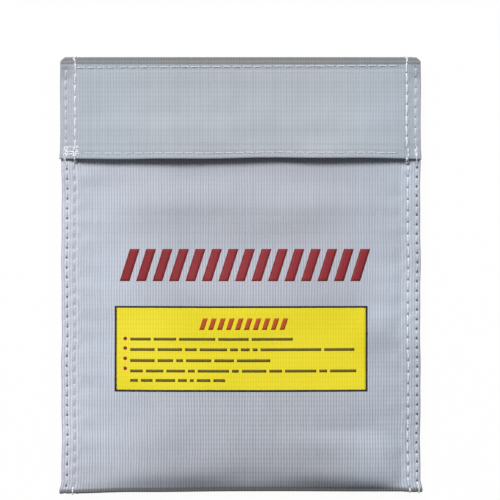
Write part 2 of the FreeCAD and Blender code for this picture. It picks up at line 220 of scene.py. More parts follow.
# ------------------------------------------------------------------ materials
class Nodes:
    def __init__(self, name):
        self.m = bpy.data.materials.new(name)
        self.m.use_nodes = True
        self.nt = self.m.node_tree
        self.nt.nodes.clear()
        self.out = self.nt.nodes.new("ShaderNodeOutputMaterial")
        self.b = self.nt.nodes.new("ShaderNodeBsdfPrincipled")
        self.nt.links.new(self.b.outputs[0], self.out.inputs[0])

    def put(self, socket, value):
        if isinstance(value, bpy.types.NodeSocket):
            self.nt.links.new(value, socket)
        elif value is not None:
            socket.default_value = value

    def f(self, op, a, b=None, c=None, clamp=False):
        n = self.nt.nodes.new("ShaderNodeMath")
        n.operation, n.use_clamp = op, clamp
        for k, v in enumerate((a, b, c)):
            self.put(n.inputs[k], v)
        return n.outputs[0]

    def mix(self, fac, a, b, mode="MIX"):
        n = self.nt.nodes.new("ShaderNodeMix")
        n.data_type, n.blend_type = "RGBA", mode
        self.put(n.inputs[0], fac)
        for k, v in ((6, a), (7, b)):
            self.put(n.inputs[k], (*v, 1.0) if isinstance(v, tuple) and len(v) == 3 else v)
        return n.outputs[2]

    def noise(self, vec, scale, detail=2.0, rough=0.5, dims="3D"):
        n = self.nt.nodes.new("ShaderNodeTexNoise")
        n.noise_dimensions = dims
        self.put(n.inputs["Vector"], vec)
        n.inputs["Scale"].default_value = scale
        n.inputs["Detail"].default_value = detail
        n.inputs["Roughness"].default_value = rough
        return n.outputs["Fac"]

    def white(self, value):
        n = self.nt.nodes.new("ShaderNodeTexWhiteNoise")
        n.noise_dimensions = "1D"
        self.put(n.inputs["W"], value)
        return n.outputs["Value"]

    def range(self, x, a, b, c=0.0, d=1.0, smooth=False):
        n = self.nt.nodes.new("ShaderNodeMapRange")
        if smooth:
            n.interpolation_type = "SMOOTHSTEP"
        for k, v in enumerate((x, a, b, c, d)):
            self.put(n.inputs[k], v)
        return n.outputs[0]

    def uv(self):
        n = self.nt.nodes.new("ShaderNodeUVMap")
        n.uv_map = "cloth"
        s = self.nt.nodes.new("ShaderNodeSeparateXYZ")
        self.nt.links.new(n.outputs[0], s.inputs[0])
        return n.outputs[0], s.outputs[0], s.outputs[1]

    def vec(self, x, y, z=0.0):
        n = self.nt.nodes.new("ShaderNodeCombineXYZ")
        for k, v in enumerate((x, y, z)):
            self.put(n.inputs[k], v)
        return n.outputs[0]

    def object(self):
        return self.nt.nodes.new("ShaderNodeTexCoord").outputs["Object"]

    def bump(self, height, distance, strength=1.0, normal=None):
        n = self.nt.nodes.new("ShaderNodeBump")
        n.inputs["Strength"].default_value = strength
        n.inputs["Distance"].default_value = distance
        self.put(n.inputs["Height"], height)
        self.put(n.inputs["Normal"], normal)
        return n.outputs[0]

    def scale(self, colour, factor):
        n = self.nt.nodes.new("ShaderNodeVectorMath")
        n.operation = "SCALE"
        self.put(n.inputs[0], colour)
        self.put(n.inputs["Scale"], factor)
        return n.outputs[0]

    def rgb(self, c):
        n = self.nt.nodes.new("ShaderNodeRGB")
        n.outputs[0].default_value = (*c, 1.0)
        return n.outputs[0]


def srgb(r, g, b):
    return tuple((v / 255 / 12.92) if v / 255 <= 0.04045 else ((v / 255 + 0.055) / 1.055) ** 2.4 for v in (r, g, b))


RIB, WEFT = 1.42, 2.45                            # the cloth's ribs, and the lines across them


def weave(g, u, v, wob=None, lines=1.0):
    """Height 0 to 1 of the ribbed weave, and how much light its ribs and its cross lines hold back, 0 to 1 each."""
    if wob is not None:
        u = g.f("ADD", u, g.f("MULTIPLY", g.f("SUBTRACT", wob, 0.5), 1.2))
    a = g.f("MULTIPLY_ADD", g.f("COSINE", g.f("MULTIPLY", u, 2 * math.pi / RIB)), 0.5, 0.5)
    b = g.f("MULTIPLY_ADD", g.f("COSINE", g.f("MULTIPLY", v, 2 * math.pi / WEFT)), 0.5, 0.5)
    s = g.f("MULTIPLY", g.f("COSINE", g.f("MULTIPLY", u, math.pi / RIB)), g.f("COSINE", g.f("MULTIPLY", v, 2 * math.pi / WEFT)))
    y1 = g.f("MULTIPLY", g.f("COSINE", g.f("MULTIPLY", u, 4 * math.pi / RIB)), g.f("COSINE", g.f("MULTIPLY", v, 10 * math.pi / WEFT)))
    h = g.f("ADD", g.f("MULTIPLY", g.f("POWER", a, 0.7), 0.85), g.f("ADD", g.f("MULTIPLY", b, 0.11 * lines), g.f("MULTIPLY", s, 0.05)))
    h = g.f("ADD", h, g.f("MULTIPLY", y1, 0.16))
    return h, g.f("POWER", g.f("SUBTRACT", 1.0, a), 1.25), g.f("POWER", g.f("SUBTRACT", 1.0, b), 2.4)


def holes(g, u, v, rows):
    """0 to 1, high inside the needle holes of the given rows. rows are (u, pitch, phase, two radii, tone)."""
    got = None
    for u0, pitch, phase, ru, rv, tone in rows:
        du = g.f("DIVIDE", g.f("SUBTRACT", u, u0), ru)
        w = g.f("SUBTRACT", g.f("MODULO", g.f("ADD", g.f("SUBTRACT", v, phase), pitch * 400.5), pitch), pitch / 2)
        dv = g.f("DIVIDE", w, rv)
        d = g.f("ADD", g.f("MULTIPLY", du, du), g.f("MULTIPLY", dv, dv))
        k = g.range(d, 1.6, 0.25, 0.0, tone, True)
        got = k if got is None else g.f("MAXIMUM", got, k)
    return got


def cloth_material(name, rows, base=(0.455, 0.475, 0.532), rib_dark=(0.22, 0.31), line_dark=0.035,
                   dist=0.00006, across=(), fold_shade=(), painted_low_light=1.0, painted_side_light=(0.0, 0.0),
                   reach=(0.0, 1000.0), calm=None, groove_shade=None, painted_strip_light=(0.0, 0.0, 0.0), low_lines=False, light_and_shade_patches=()):
    g = Nodes(name)
    uv, u, v = g.uv()
    slow = g.noise(g.vec(g.f("MULTIPLY", u, 0.012), g.f("MULTIPLY", v, 0.012)), 1.0, 3.0)
    wob = g.noise(g.vec(g.f("MULTIPLY", u, 0.035), g.f("MULTIPLY", v, 0.035), 3.0), 1.0, 2.0)
    h, da, db = weave(g, u, v, wob)
    dark = g.f("ADD", g.f("MULTIPLY", da, 0.7), g.f("MULTIPLY", db, 0.3))
    rib = g.white(g.f("FLOOR", g.f("DIVIDE", u, RIB)))
    line = g.white(g.f("ADD", g.f("FLOOR", g.f("DIVIDE", v, WEFT)), 0.37))
    fine = g.noise(g.vec(g.f("MULTIPLY", u, 1.1), g.f("MULTIPLY", v, 0.35)), 1.0, 2.0)
    tone = g.f("ADD", g.f("MULTIPLY", g.f("SUBTRACT", rib, 0.5), 0.05), g.f("MULTIPLY", g.f("SUBTRACT", line, 0.5), 0.035))
    tone = g.f("ADD", tone, g.f("MULTIPLY", g.f("SUBTRACT", slow, 0.5), 0.10))
    tone = g.f("ADD", tone, g.f("MULTIPLY", g.f("SUBTRACT", fine, 0.5), 0.07))
    grain = g.f("MULTIPLY", g.f("COSINE", g.f("MULTIPLY", u, 4 * math.pi / RIB)), g.f("COSINE", g.f("MULTIPLY", v, 10 * math.pi / WEFT)))
    tone = g.f("ADD", tone, g.f("MULTIPLY", grain, 0.045))
    # painted light: from v 50 to 170, down towards the bottom of the front, the cloth is painted up to the given factor
    # times brighter
    tone = g.f("ADD", tone, g.range(v, 50.0, 170.0, 1.0, painted_low_light, True))
    slub = g.noise(g.vec(g.f("DIVIDE", u, RIB), g.f("MULTIPLY", v, 0.10), 7.0), 1.0, 2.0)
    # painted shade in the weave's grooves, deeper from v 60 to 190, down towards the bottom
    deep = g.f("MULTIPLY", g.range(v, 60.0, 190.0, rib_dark[0], rib_dark[1]), g.f("ADD", 0.6, g.f("MULTIPLY", slub, 0.8)))
    # painted light: the two sides are painted brighter, the left more than the right, where the light falls on them
    out_l, out_r = g.range(u, -28.0, -74.0, 0.0, 1.0, True), g.range(u, 38.0, 76.0, 0.0, 1.0, True)
    if painted_side_light[0]:
        out_l = g.f("MULTIPLY", out_l, g.f("MULTIPLY", g.range(v, 50.0, 74.0, 0.65, 1.0, True), g.range(v, 184.0, 206.0, 1.0, 0.3, True)))
    tone = g.f("ADD", tone, g.f("ADD", g.f("MULTIPLY", out_l, painted_side_light[0]), g.f("MULTIPLY", out_r, painted_side_light[1])))
    # painted light and painted shade on the strips beside the side seams: the left strip lighter, the right one lighter
    # or darker along its length, and lighter low down
    tone = g.f("ADD", tone, g.range(u, -80.0, -85.0, 0.0, painted_strip_light[0], True))
    tone = g.f("ADD", tone, g.f("MULTIPLY", g.range(u, 80.0, 85.0, 0.0, 1.0, True), g.f("ADD", g.range(v, 105.0, 165.0, painted_strip_light[1], painted_strip_light[2], True),
                                                                                            g.range(v, 180.0, 198.0, 0.0, 0.11, True))))
    for u0, v0, ru, rv, more in light_and_shade_patches:            # broad soft patches of painted light and painted shade, lighter or darker tone where the light falls more or less
        du, dv = g.f("DIVIDE", g.f("SUBTRACT", u, u0), ru), g.f("DIVIDE", g.f("SUBTRACT", v, v0), rv)
        d = g.f("SQRT", g.f("ADD", g.f("MULTIPLY", du, du), g.f("MULTIPLY", dv, dv)))
        tone = g.f("ADD", tone, g.range(d, 0.0, 1.7, more, 0.0, True))
    # painted shade: a dark line in the groove just below the flap's top stitch row, deeper towards the right
    if groove_shade:
        k = g.range(g.f("ABSOLUTE", g.f("SUBTRACT", g.f("MULTIPLY_ADD", u, TILT, v), groove_shade)), 0.25, 0.95, 1.0, 0.0, True)
        k = g.f("MULTIPLY", k, g.range(u, -60.0, 60.0, 0.08, 0.17, True))
        tone = g.f("SUBTRACT", tone, g.f("MULTIPLY", k, g.range(g.f("ABSOLUTE", u), 83.0, 84.0, 1.0, 0.0)))
    if calm:
        k = g.range(v, calm[0], calm[1], 1.0, calm[2], True)
        deep, h = g.f("MULTIPLY", deep, g.range(v, calm[0], calm[1], 1.0, 0.3, True)), g.f("MULTIPLY", h, k)
    cross = line_dark
    if low_lines:                                  # painted shade in the lines across the ribs, strongest low down and to the right
        cross = g.f("MULTIPLY", line_dark, g.f("MULTIPLY_ADD", g.range(v, 105.0, 165.0, 0.0, 1.0, True), g.range(u, -55.0, 0.0, 0.0, 1.9, True), 0.4))
        cross = g.f("MULTIPLY", cross, g.range(u, 15.0, 60.0, 1.0, 0.62, True))
    keep = g.f("SUBTRACT", 1.0, g.f("ADD", g.f("MULTIPLY", da, deep), g.f("MULTIPLY", db, cross)))
    # darker, warmer lines along the folded side edges: the warmer tone is the edge's own, the darkening is painted
    # shade on the rounded edges, stronger on the right
    side = g.f("MAXIMUM", g.range(u, HB - 2.3, HB - 1.5, 0.0, 0.18, True), g.range(u, 1.6 - HB, 0.9 - HB, 0.0, 0.12, True))
    edge = g.f("MAXIMUM", g.range(u, HB - 0.9, HB - 0.3, 0.0, 0.13, True), g.range(u, 0.9 - HB, 0.3 - HB, 0.0, 0.04, True))
    for a0, a1, b1, b0 in fold_shade:                  # painted shade in bands along the folds, faded in from a0 to a1 and out from b1 to b0
        k = g.f("MULTIPLY", g.range(v, a0, a1, 0.0, 1.0, True), g.range(v, b1, b0, 1.0, 0.0, True))
        edge = g.f("MAXIMUM", edge, g.f("MULTIPLY", k, 0.85))
    col = g.mix(g.f("MULTIPLY", slow, 0.35), base, (base[0] * 1.03, base[1] * 0.985, base[2] * 0.97))
    col = g.mix(g.f("MAXIMUM", g.f("MULTIPLY", out_l, 0.8), out_r), col, (base[0] * 0.967, base[1] * 1.002, base[2] * 1.022))
    col = g.mix(g.range(u, -80.0, -85.0, 0.0, 1.0, True), col, (base[0] * 1.003, base[1] * 0.984, base[2] * 1.003))
    col = g.mix(side, col, (0.335, 0.34, 0.325))
    col = g.mix(edge, col, (0.215, 0.217, 0.215))
    col = g.scale(col, g.f("MULTIPLY", tone, keep))
    hm = holes(g, u, v, rows) if rows else None
    for v0, pitch, phase, half, tilt in across:    # rows that run across the cloth
        k = holes(g, g.f("MULTIPLY_ADD", u, tilt, v), u, [(v0, pitch, phase, 0.36, 0.42, 0.40)])
        k = g.f("MULTIPLY", k, g.range(g.f("ABSOLUTE", u), half, half - 0.5, 0.0, 1.0))
        hm = k if hm is None else g.f("MAXIMUM", hm, k)
    height = h
    if hm is not None:
        seam = g.f("MULTIPLY", g.range(v, reach[0], reach[0] + 0.3, 0.0, 1.0), g.range(v, reach[1] - 0.3, reach[1], 1.0, 0.0))
        hm = g.f("MULTIPLY", hm, seam)
        # the needle holes are painted near-black: painted shade inside the holes
        col = g.mix(g.f("MULTIPLY", hm, 0.86), col, (0.035, 0.04, 0.055))
        height = g.f("SUBTRACT", h, g.f("MULTIPLY", hm, 2.2))
    rough = g.f("ADD", 0.62, g.f("MULTIPLY", dark, 0.12))
    g.put(g.b.inputs["Base Color"], col)
    g.put(g.b.inputs["Roughness"], rough)
    g.b.inputs["Metallic"].default_value = 0.20
    g.b.inputs["Specular IOR Level"].default_value = 0.42
    g.put(g.b.inputs["Normal"], g.bump(height, dist))
    return g.m


def ink_material(name, colour, weave_dark=0.12, rough=0.5, thin=0.16):
    g = Nodes(name)
    uv, u, v = g.uv()
    wob = g.noise(g.vec(g.f("MULTIPLY", u, 0.035), g.f("MULTIPLY", v, 0.035), 3.0), 1.0, 2.0)
    h, da, db = weave(g, u, v, wob)
    dark = g.f("ADD", g.f("MULTIPLY", da, 0.7), g.f("MULTIPLY", db, 0.3))
    patchy = g.noise(g.vec(u, v), 0.35, 3.0)
    fine = g.noise(g.vec(u, v), 2.2, 2.0)
    col = g.mix(g.f("MULTIPLY", g.f("MULTIPLY", dark, fine), thin), colour, (0.40, 0.42, 0.46))
    keep = g.f("SUBTRACT", g.f("ADD", 0.97, g.f("MULTIPLY", patchy, 0.06)), g.f("MULTIPLY", dark, weave_dark))
    g.put(g.b.inputs["Base Color"], g.scale(col, keep))
    g.put(g.b.inputs["Roughness"], g.f("ADD", rough, g.f("MULTIPLY", dark, 0.1)))
    g.b.inputs["Specular IOR Level"].default_value = 0.35
    g.put(g.b.inputs["Normal"], g.bump(h, 0.00005))
    return g.m


def plain_weave_material(name, colour, pitch, dark_by, dist, rough=0.8, metallic=0.0, fuzz=0.0):
    """A plain weave of equal yarns, for the lining and the tapes."""
    g = Nodes(name)
    uv, u, v = g.uv()
    k = math.pi / pitch
    cu, cv = g.f("COSINE", g.f("MULTIPLY", u, k)), g.f("COSINE", g.f("MULTIPLY", v, k))
    su, sv = g.f("ABSOLUTE", g.f("SINE", g.f("MULTIPLY", u, k))), g.f("ABSOLUTE", g.f("SINE", g.f("MULTIPLY", v, k)))
    over = g.range(g.f("MULTIPLY", cu, cv), -0.15, 0.15, 0.0, 1.0, True)
    a = g.f("MULTIPLY", g.f("POWER", g.f("ABSOLUTE", cu), 0.6), g.f("ADD", 0.55, g.f("MULTIPLY", g.f("ABSOLUTE", cv), 0.45)))
    b = g.f("MULTIPLY", g.f("POWER", g.f("ABSOLUTE", cv), 0.6), g.f("ADD", 0.55, g.f("MULTIPLY", g.f("ABSOLUTE", cu), 0.45)))
    h = g.f("MAXIMUM", a, b)
    yarn = g.white(g.f("ADD", g.f("FLOOR", g.f("DIVIDE", g.f("ADD", u, pitch / 2), pitch)), 0.11))
    yarn2 = g.white(g.f("ADD", g.f("FLOOR", g.f("DIVIDE", g.f("ADD", v, pitch / 2), pitch)), 0.73))
    fine = g.noise(g.vec(g.f("MULTIPLY", u, 3.0), g.f("MULTIPLY", v, 3.0)), 1.0, 3.0)
    slow = g.noise(g.vec(g.f("MULTIPLY", u, 0.03), g.f("MULTIPLY", v, 0.03)), 1.0, 3.0)
    tone = g.f("ADD", 0.93, g.f("MULTIPLY", g.f("ADD", yarn, yarn2), 0.06))
    tone = g.f("ADD", tone, g.f("MULTIPLY", g.f("SUBTRACT", fine, 0.5), 0.18 + fuzz))
    tone = g.f("ADD", tone, g.f("MULTIPLY", g.f("SUBTRACT", slow, 0.5), 0.10))
    tone = g.f("MULTIPLY", tone, g.f("SUBTRACT", 1.0, g.f("MULTIPLY", g.f("SUBTRACT", 1.0, h), dark_by)))
    tone = g.f("MULTIPLY", tone, g.f("ADD", 0.95, g.f("MULTIPLY", over, 0.07)))
    g.put(g.b.inputs["Base Color"], g.scale(g.rgb(colour), tone))
    g.put(g.b.inputs["Roughness"], g.f("ADD", rough, g.f("MULTIPLY", fine, 0.12)))
    g.b.inputs["Metallic"].default_value = metallic
    g.b.inputs["Sheen Weight"].default_value = 0.25
    g.put(g.b.inputs["Normal"], g.bump(g.f("ADD", h, g.f("MULTIPLY", fine, 0.25)), dist))
    return g.m


def thread_material(name, colour):
    g = Nodes(name)
    uv, u, v = g.uv()                             # u along the strand, v round it, in millimetres
    fibre = g.noise(g.vec(g.f("MULTIPLY", u, 0.9), g.f("MULTIPLY", v, 5.0)), 1.0, 2.0)
    slow = g.noise(g.vec(g.f("MULTIPLY", u, 0.12), 0.0), 1.0, 2.0)
    tone = g.f("ADD", 0.86, g.f("ADD", g.f("MULTIPLY", fibre, 0.18), g.f("MULTIPLY", slow, 0.10)))
    g.put(g.b.inputs["Base Color"], g.scale(g.rgb(colour), tone))
    g.put(g.b.inputs["Roughness"], g.f("ADD", 0.52, g.f("MULTIPLY", fibre, 0.2)))
    g.b.inputs["Sheen Weight"].default_value = 0.2
    g.put(g.b.inputs["Normal"], g.bump(fibre, 0.00004))
    return g.m


def nylon_material(name, colour):
    g = Nodes(name)
    p = g.object()
    n = g.noise(p, 900.0, 2.0)
    slow = g.noise(p, 60.0, 2.0)
    g.put(g.b.inputs["Base Color"], g.scale(g.rgb(colour), g.f("ADD", 0.75, g.f("ADD", g.f("MULTIPLY", n, 0.3), g.f("MULTIPLY", slow, 0.2)))))
    g.put(g.b.inputs["Roughness"], g.f("ADD", 0.38, g.f("MULTIPLY", n, 0.2)))
    g.b.inputs["Sheen Weight"].default_value = 0.3
    return g.m


# ------------------------------------------------------------------ the pouch's shape
def along_front(x, y):
    up = (3.0 * ramp((54.0 - y) / 22.0) + 4.0 * ramp((22.0 - y) / 42.0)) / 7.0
    w = np.maximum(y + 110.2, 0.0)
    down = 1 - 0.74 * np.exp(-(w / (5.6 - 2.0 * ss((x - 15.0) / 55.0))) ** 1.3) - 0.26 * np.exp(-(w / 15.0) ** 1.1)
    return up * down


def front_z(x, y):
    u = np.clip(np.abs(x) / XF, 0, 1)
    full = 2.0 + 5.5 * ss((-78.0 - y) / 20.0) * ss((x + 5.0) / 70.0)
    dome = (1 - u ** full) ** 1.2 * along_front(x, y)
    inside = np.clip(1 - u ** 6, 0, 1) * ss((56 - y) / 12.0) * ss((y + 110.5) / 9.0)
    soft = 0.42 * waves(x, y, 62, 3) + 0.10 * waves(x, y, 22, 5)
    pucker = np.exp(-(XF - np.abs(x)) / 8.0) * np.where(np.abs(x) < XF, 1, 0) * (
        0.13 * np.sin(2 * np.pi * y / 11.3 + 1.1 * np.sign(x)) + 0.12 * waves(x * 0.3, y, 17, 11)) * ss((XF - np.abs(x)) / 2.0)
    knob = 1.5 * np.exp(-((x - 71.0) / 12.0) ** 2 - ((y + 26.5) / 10.0) ** 2) * ss((XF - x) / 8.0)
    w = np.maximum(y + 110.2, 0.0)                                   # and the bottom edge rolls a little more at the right
    knob = knob + 1.5 * np.exp(-((x - 71.0) / 10.0) ** 2) * (1 - np.exp(-(w / 3.4) ** 1.4)) * np.exp(-(w / 24.0) ** 2) * ss((XF - x) / 5.0)
    return Z_FRONT + 7.0 * dome + inside * soft + knob + pucker * ss((y + 110.0) / 4.0)


def back_z(x, y):
    c = ramp((XF - np.abs(x)) / 30.0) * ramp((y + 108.9) / 16.9) * ramp((107.3 - y) / 4.8)
    z = Z_BACK - (Z_BACK + 0.15) * c + 0.18 * waves(x, y, 30, 21) * c * (1 - c) * 4
    return np.maximum(z, 0.02)


def half_width(v_y, kind):
    """Half of the cloth's width at a height y: front and back flare at the bottom corners, and the top fold is narrower."""
    y = v_y
    if kind == "pouch":
        w = HB - 0.1 + 1.15 * ss((-104.5 - y) / 6.0) + 0.14 * np.sin(y / 9.5 + 1.0) + 0.10 * np.sin(y / 4.1)
        return w - 1.0 * ss((y - 104.0) / 6.0)
    w = HF - 0.35 + 0.08 * np.sin(y / 7.0) + 0.35 * ss((66.0 - y) / 6.0)
    return w - 0.25 * ss((y - 96.0) / 12.0)


STATIONS_SIDE = np.array([81.0, 82.0, 82.4, 82.8, 83.4, 84.0, 84.5, 84.85, 85.2, 85.55, 85.9, 86.5, 87.1, 87.7, 88.3, 88.9,
                          89.4, 89.8, 90.15, 90.6])
PHI = np.radians([68.0, 46.0, 26.0, 10.0])


def stations(half, mid_n):
    mid = np.linspace(-STATIONS_SIDE[0], STATIONS_SIDE[0], mid_n)
    side = np.append(STATIONS_SIDE[1:], half)
    flat = np.concatenate([-side[::-1], mid, side])
    return flat


def dimple(x, v, rows, depth=0.30, trough=0.10, rx=0.55, rv=0.65):
    """How far the stitches pull the cloth down. rows are (x, pitch, phase)."""
    d = 0
    for x0, pitch, phase in rows:
        w = np.mod(v - phase + pitch * 400.5, pitch) - pitch / 2
        d = d - depth * np.exp(-((x - x0) / rx) ** 2 - (w / rv) ** 2) - trough * np.exp(-((x - x0) / 0.9) ** 2)
    return d


def build_sheet(xs_flat, vs, base, wide, hw, thick, end0, end1, r_edge, dimples_up, dimples_low):
    """Upper and lower faces of a sewn sheet. base(x) gives the points at x. wide is its half width and hw that of each row,
    thick(x, k) the thickness, end0 and end1 say which ends are rounded."""
    half = xs_flat[-1]
    nr = len(vs)
    cols = np.concatenate([[-half] * len(PHI), xs_flat, [half] * len(PHI)])
    e = np.concatenate([np.sin(PHI[::-1]), np.ones(len(xs_flat)), np.sin(PHI)])
    out = np.concatenate([-np.cos(PHI[::-1]), np.zeros(len(xs_flat)), np.cos(PHI)])
    X = np.zeros((nr, len(cols)))
    for k in range(nr):
        re = r_edge[k]
        X[k] = cols / half * (wide - re) + out * re + np.sign(cols) * (hw[k] - wide) * ss((np.abs(cols) - 70.0) / 21.0)
    P = base(X)
    N = normals_of(P)
    T = thick(np.broadcast_to(cols, X.shape), np.broadcast_to(np.asarray(vs)[:, None], X.shape))
    f = np.ones((nr, 1))
    if end0:
        f[:4, 0] = [0.12, 0.55, 0.85, 1.0][:4]
    if end1:
        f[-4:, 0] = [1.0, 0.85, 0.55, 0.12]
    g = e[None, :] * f
    G = T / 2 * (1 - g)
    nom = np.concatenate([[-half] * len(PHI), xs_flat, [half] * len(PHI)]) + out * 0.7
    nomg = np.broadcast_to(nom, X.shape)
    V = np.broadcast_to(np.asarray(vs)[:, None], X.shape)
    du = dimples_up(nomg, V) * g if dimples_up is not None else 0
    dl = dimples_low(nomg, V) * g if dimples_low is not None else 0
    U = P - N * (G - du)[..., None]
    L = P - N * (T / 2 * (1 + g) + (dl if dimples_low is not None else 0) * 1.0)[..., None]
    uv = np.stack([nomg, V], -1)
    return nom, U, L, uv, N


# rows of the pouch: mouth, front, bottom fold, back, heel, half of the top fold
STEP = 0.84
ys_front = np.concatenate([[Y_MOUTH, Y_MOUTH - 0.12, Y_MOUTH - 0.35], np.arange(Y_MOUTH - 0.65, 93.2, -STEP), [93.0, 92.7],
                           np.arange(92.0, Y_NOSE + 0.3, -STEP), [Y_NOSE]])
a_nose = np.radians(np.linspace(90, 270, 11)[1:])
ys_back = np.concatenate([np.arange(Y_NOSE + 1.2, 98.0, 1.26), np.linspace(98.6, C1[0], 14)])
a_heel = np.radians(np.linspace(-90, 24, 8)[1:])
t_wall = np.linspace(0, WALL / 2, 4)[1:]
kinds, ry, rz, vv = [], [], [], []
v = 0.0
for y in ys_front:
    kinds.append("front"); ry.append(y); rz.append(Z_FRONT); vv.append(Y_MOUTH - y)
v = Y_MOUTH - Y_NOSE
for a in a_nose:
    kinds.append("nose"); ry.append(Y_NOSE + NOSE_RY * math.cos(a)); rz.append(ZC + NOSE_R * math.sin(a)); vv.append(v + 1.87 * (a - math.pi / 2))
V_NOSE0, V_NOSE1 = v, v + 1.87 * math.pi
for y in ys_back:
    kinds.append("back"); ry.append(y); rz.append(Z_BACK); vv.append(V_NOSE1 + y - Y_NOSE)
V_HEEL = V_NOSE1 + C1[0] - Y_NOSE
for a in a_heel:
    kinds.append("heel"); ry.append(C1[0] + R1 * math.cos(a)); rz.append(C1[1] + R1 * math.sin(a)); vv.append(V_HEEL + R1 * (a + math.pi / 2))
V_WALL = V_HEEL + R1 * (math.pi / 2 + SLANT)
for t in t_wall:
    kinds.append("wall"); ry.append(W0[0] - t * SA); rz.append(W0[1] + t * CA); vv.append(V_WALL + t)
V_MID = V_WALL + WALL / 2
kinds, ry, rz, vv = np.array(kinds), np.array(ry), np.array(rz), np.array(vv)

PITCH = 5.04
SEAM_ROWS = {("left", "outer"): (-88.9, PITCH, 1.6), ("left", "inner"): (-85.2, 5.77, 0.9),
             ("right", "outer"): (90.0, 4.86, 2.4), ("right", "inner"): (85.5, 5.9, 3.3)}
pouch_rows = list(SEAM_ROWS.values())


def pouch_base(X):
    P = np.zeros(X.shape + (3,))
    Y = np.broadcast_to(ry[:, None], X.shape)
    P[..., 0] = X + 0.45 * ss((X - 72.0) / 18.0) * ss((104.0 - Y) / 8.0)
    P[..., 1], P[..., 2] = Y, rz[:, None]
    fr, bk = kinds == "front", kinds == "back"
    P[fr, :, 2] = front_z(X[fr], Y[fr])
    P[bk, :, 2] = back_z(X[bk], Y[bk])
    # the bottom edge bows in a little between its corners
    bow = 0.45 * (1 - (X / HB) ** 2) * ss((-96.0 - Y) / 14.0)
    P[..., 1] += np.where((fr | bk | (kinds == "nose"))[:, None], bow, 0.0)
    P[..., 1] += 0.10 * np.sin(X / 13.0 + 0.7) * ss((-100.0 - Y) / 10.0)
    low = 0.25 * np.exp(-((X - 5.0) / 30.0) ** 2) + 0.45 * ss((-X - 5.0) / 45.0) + 0.55 * ss((-X - 55.0) / 28.0) + 0.2 * ss((X - 80.0) / 8.0)
    P[..., 1] -= low * ss((-96.0 - Y) / 14.0)
    # flange wobble, the same for front and back
    side = ss((np.abs(X) - 83.0) / 6.0) * np.where((fr | bk)[:, None], 1.0, 0.0)
    P[..., 2] += side * 0.16 * waves(np.sign(X) * 40, Y, 26, 31, 5) * ss((100 - np.abs(Y)) / 12.0)
    return P


def pouch_thick(x, v):
    edge = ss((np.abs(x) - 82.0) / 0.8)
    te = np.where(v > V_HEEL - 3.0, 1.25, 1.35)
    te = np.where((v > V_MID - 3.0), 0.95, te)
    mouth = ss((8.35 - v) / 0.3)
    mid = 0.62 + 0.55 * mouth
    return mid + (te - mid) * edge


hw = np.array([half_width(y, "pouch") if k in ("front", "back", "heel", "nose") else half_width(111.0, "pouch") for y, k in zip(ry, kinds)])
hw[kinds == "heel"] = hw[kinds == "back"][-1] + (90.3 - hw[kinds == "back"][-1]) * np.linspace(0.15, 1, 7)
hw[kinds == "wall"] = 90.3 + 1.5 * (vv[kinds == "wall"] - V_WALL) / WALL
xs_p = stations(HB - 0.7, 55)
r_edge = np.where(vv > V_MID - 3.0, 0.475, 0.67)


def pouch_up(x, v):
    d = dimple(x, v, pouch_rows)
    ridge = 0.11 * np.exp(-((np.abs(x) - 82.9) / 0.7) ** 2) * (1 + 0.6 * np.sin(v * 0.9 + x)) - 0.07 * np.exp(-((np.abs(x) - 82.0) / 0.8) ** 2)
    swell = 0.07 * np.exp(-((np.abs(x) - 87.5) / 1.2) ** 2)
    pull = 0.05 * np.sin(2 * np.pi * v / PITCH) * np.exp(-((np.abs(x) - 91.2) / 1.2) ** 2)
    for x0, pitch, phase in pouch_rows:
        pull = pull - 0.045 * np.cos(2 * np.pi * (v - phase) / pitch + 0.5 * (x - x0)) * np.exp(-((x - x0) / 1.7) ** 2)
    pull = pull + 0.035 * waves(x * 2.2, v, 6.5, 55) * np.exp(-((np.abs(x) - 85.5) / 4.0) ** 2)
    return d + ridge + swell + pull


xn, PU, PL, PUV, PN = build_sheet(xs_p, vv, pouch_base, 91.7, hw, pouch_thick, True, False, r_edge, pouch_up, None)

# ------------------------------------------------------------------ the flap's shape
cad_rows, fy, fz, fv = [], [], [], []
for t in np.linspace(WALL / 2, WALL, 4):
    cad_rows.append("wall"); fy.append(W0[0] - t * SA); fz.append(W0[1] + t * CA); fv.append(t - WALL / 2)
for a in np.radians(np.linspace(24, 90, 7)[1:]):
    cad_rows.append("crease"); fy.append(C2[0] + R2 * math.cos(a)); fz.append(C2[1] + R2 * math.sin(a)); fv.append(WALL / 2 + R2 * (a - SLANT))
F_FLAT = WALL / 2 + R2 * (math.pi / 2 - SLANT)
F_END = F_FLAT + C2[0] - Y_HEM
for y in np.concatenate([np.arange(C2[0] - STEP / 2, HEM_Y1 + 0.35, -STEP), [HEM_Y1 + 0.2, HEM_Y1 - 0.1],
                         np.arange(HEM_Y1 - 0.6, Y_HEM + 0.9, -STEP * 0.75), [Y_HEM + 0.62, Y_HEM + 0.3, Y_HEM + 0.1, Y_HEM]]):
    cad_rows.append("flap"); fy.append(y); fz.append(Z_FLAP); fv.append(F_FLAT + C2[0] - y)
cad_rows, fy, fz, fv = np.array(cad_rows), np.array(fy), np.array(fz), np.array(fv)


def flap_lift(x, y):
    """How far the flap stands above its flat CAD place: a soft arch towards the hem, and sides that droop to the seams."""
    near = ss((C2[0] - y) / 30.0)
    arch = 1.5 * np.maximum(1 - (x / 90.0) ** 2, -0.1) * ss((C2[0] - y - 12.0) / 36.0)
    droop = -1.7 * ss((np.abs(x) - 81.5) / 8.0) * ss((C2[0] - y) / 10.0)
    soft = (0.22 * waves(x, y, 58, 41) + 0.07 * waves(x, y, 19, 43)) * near * (1 - 0.5 * ss((np.abs(x) - 78) / 8))
    return arch + droop + soft


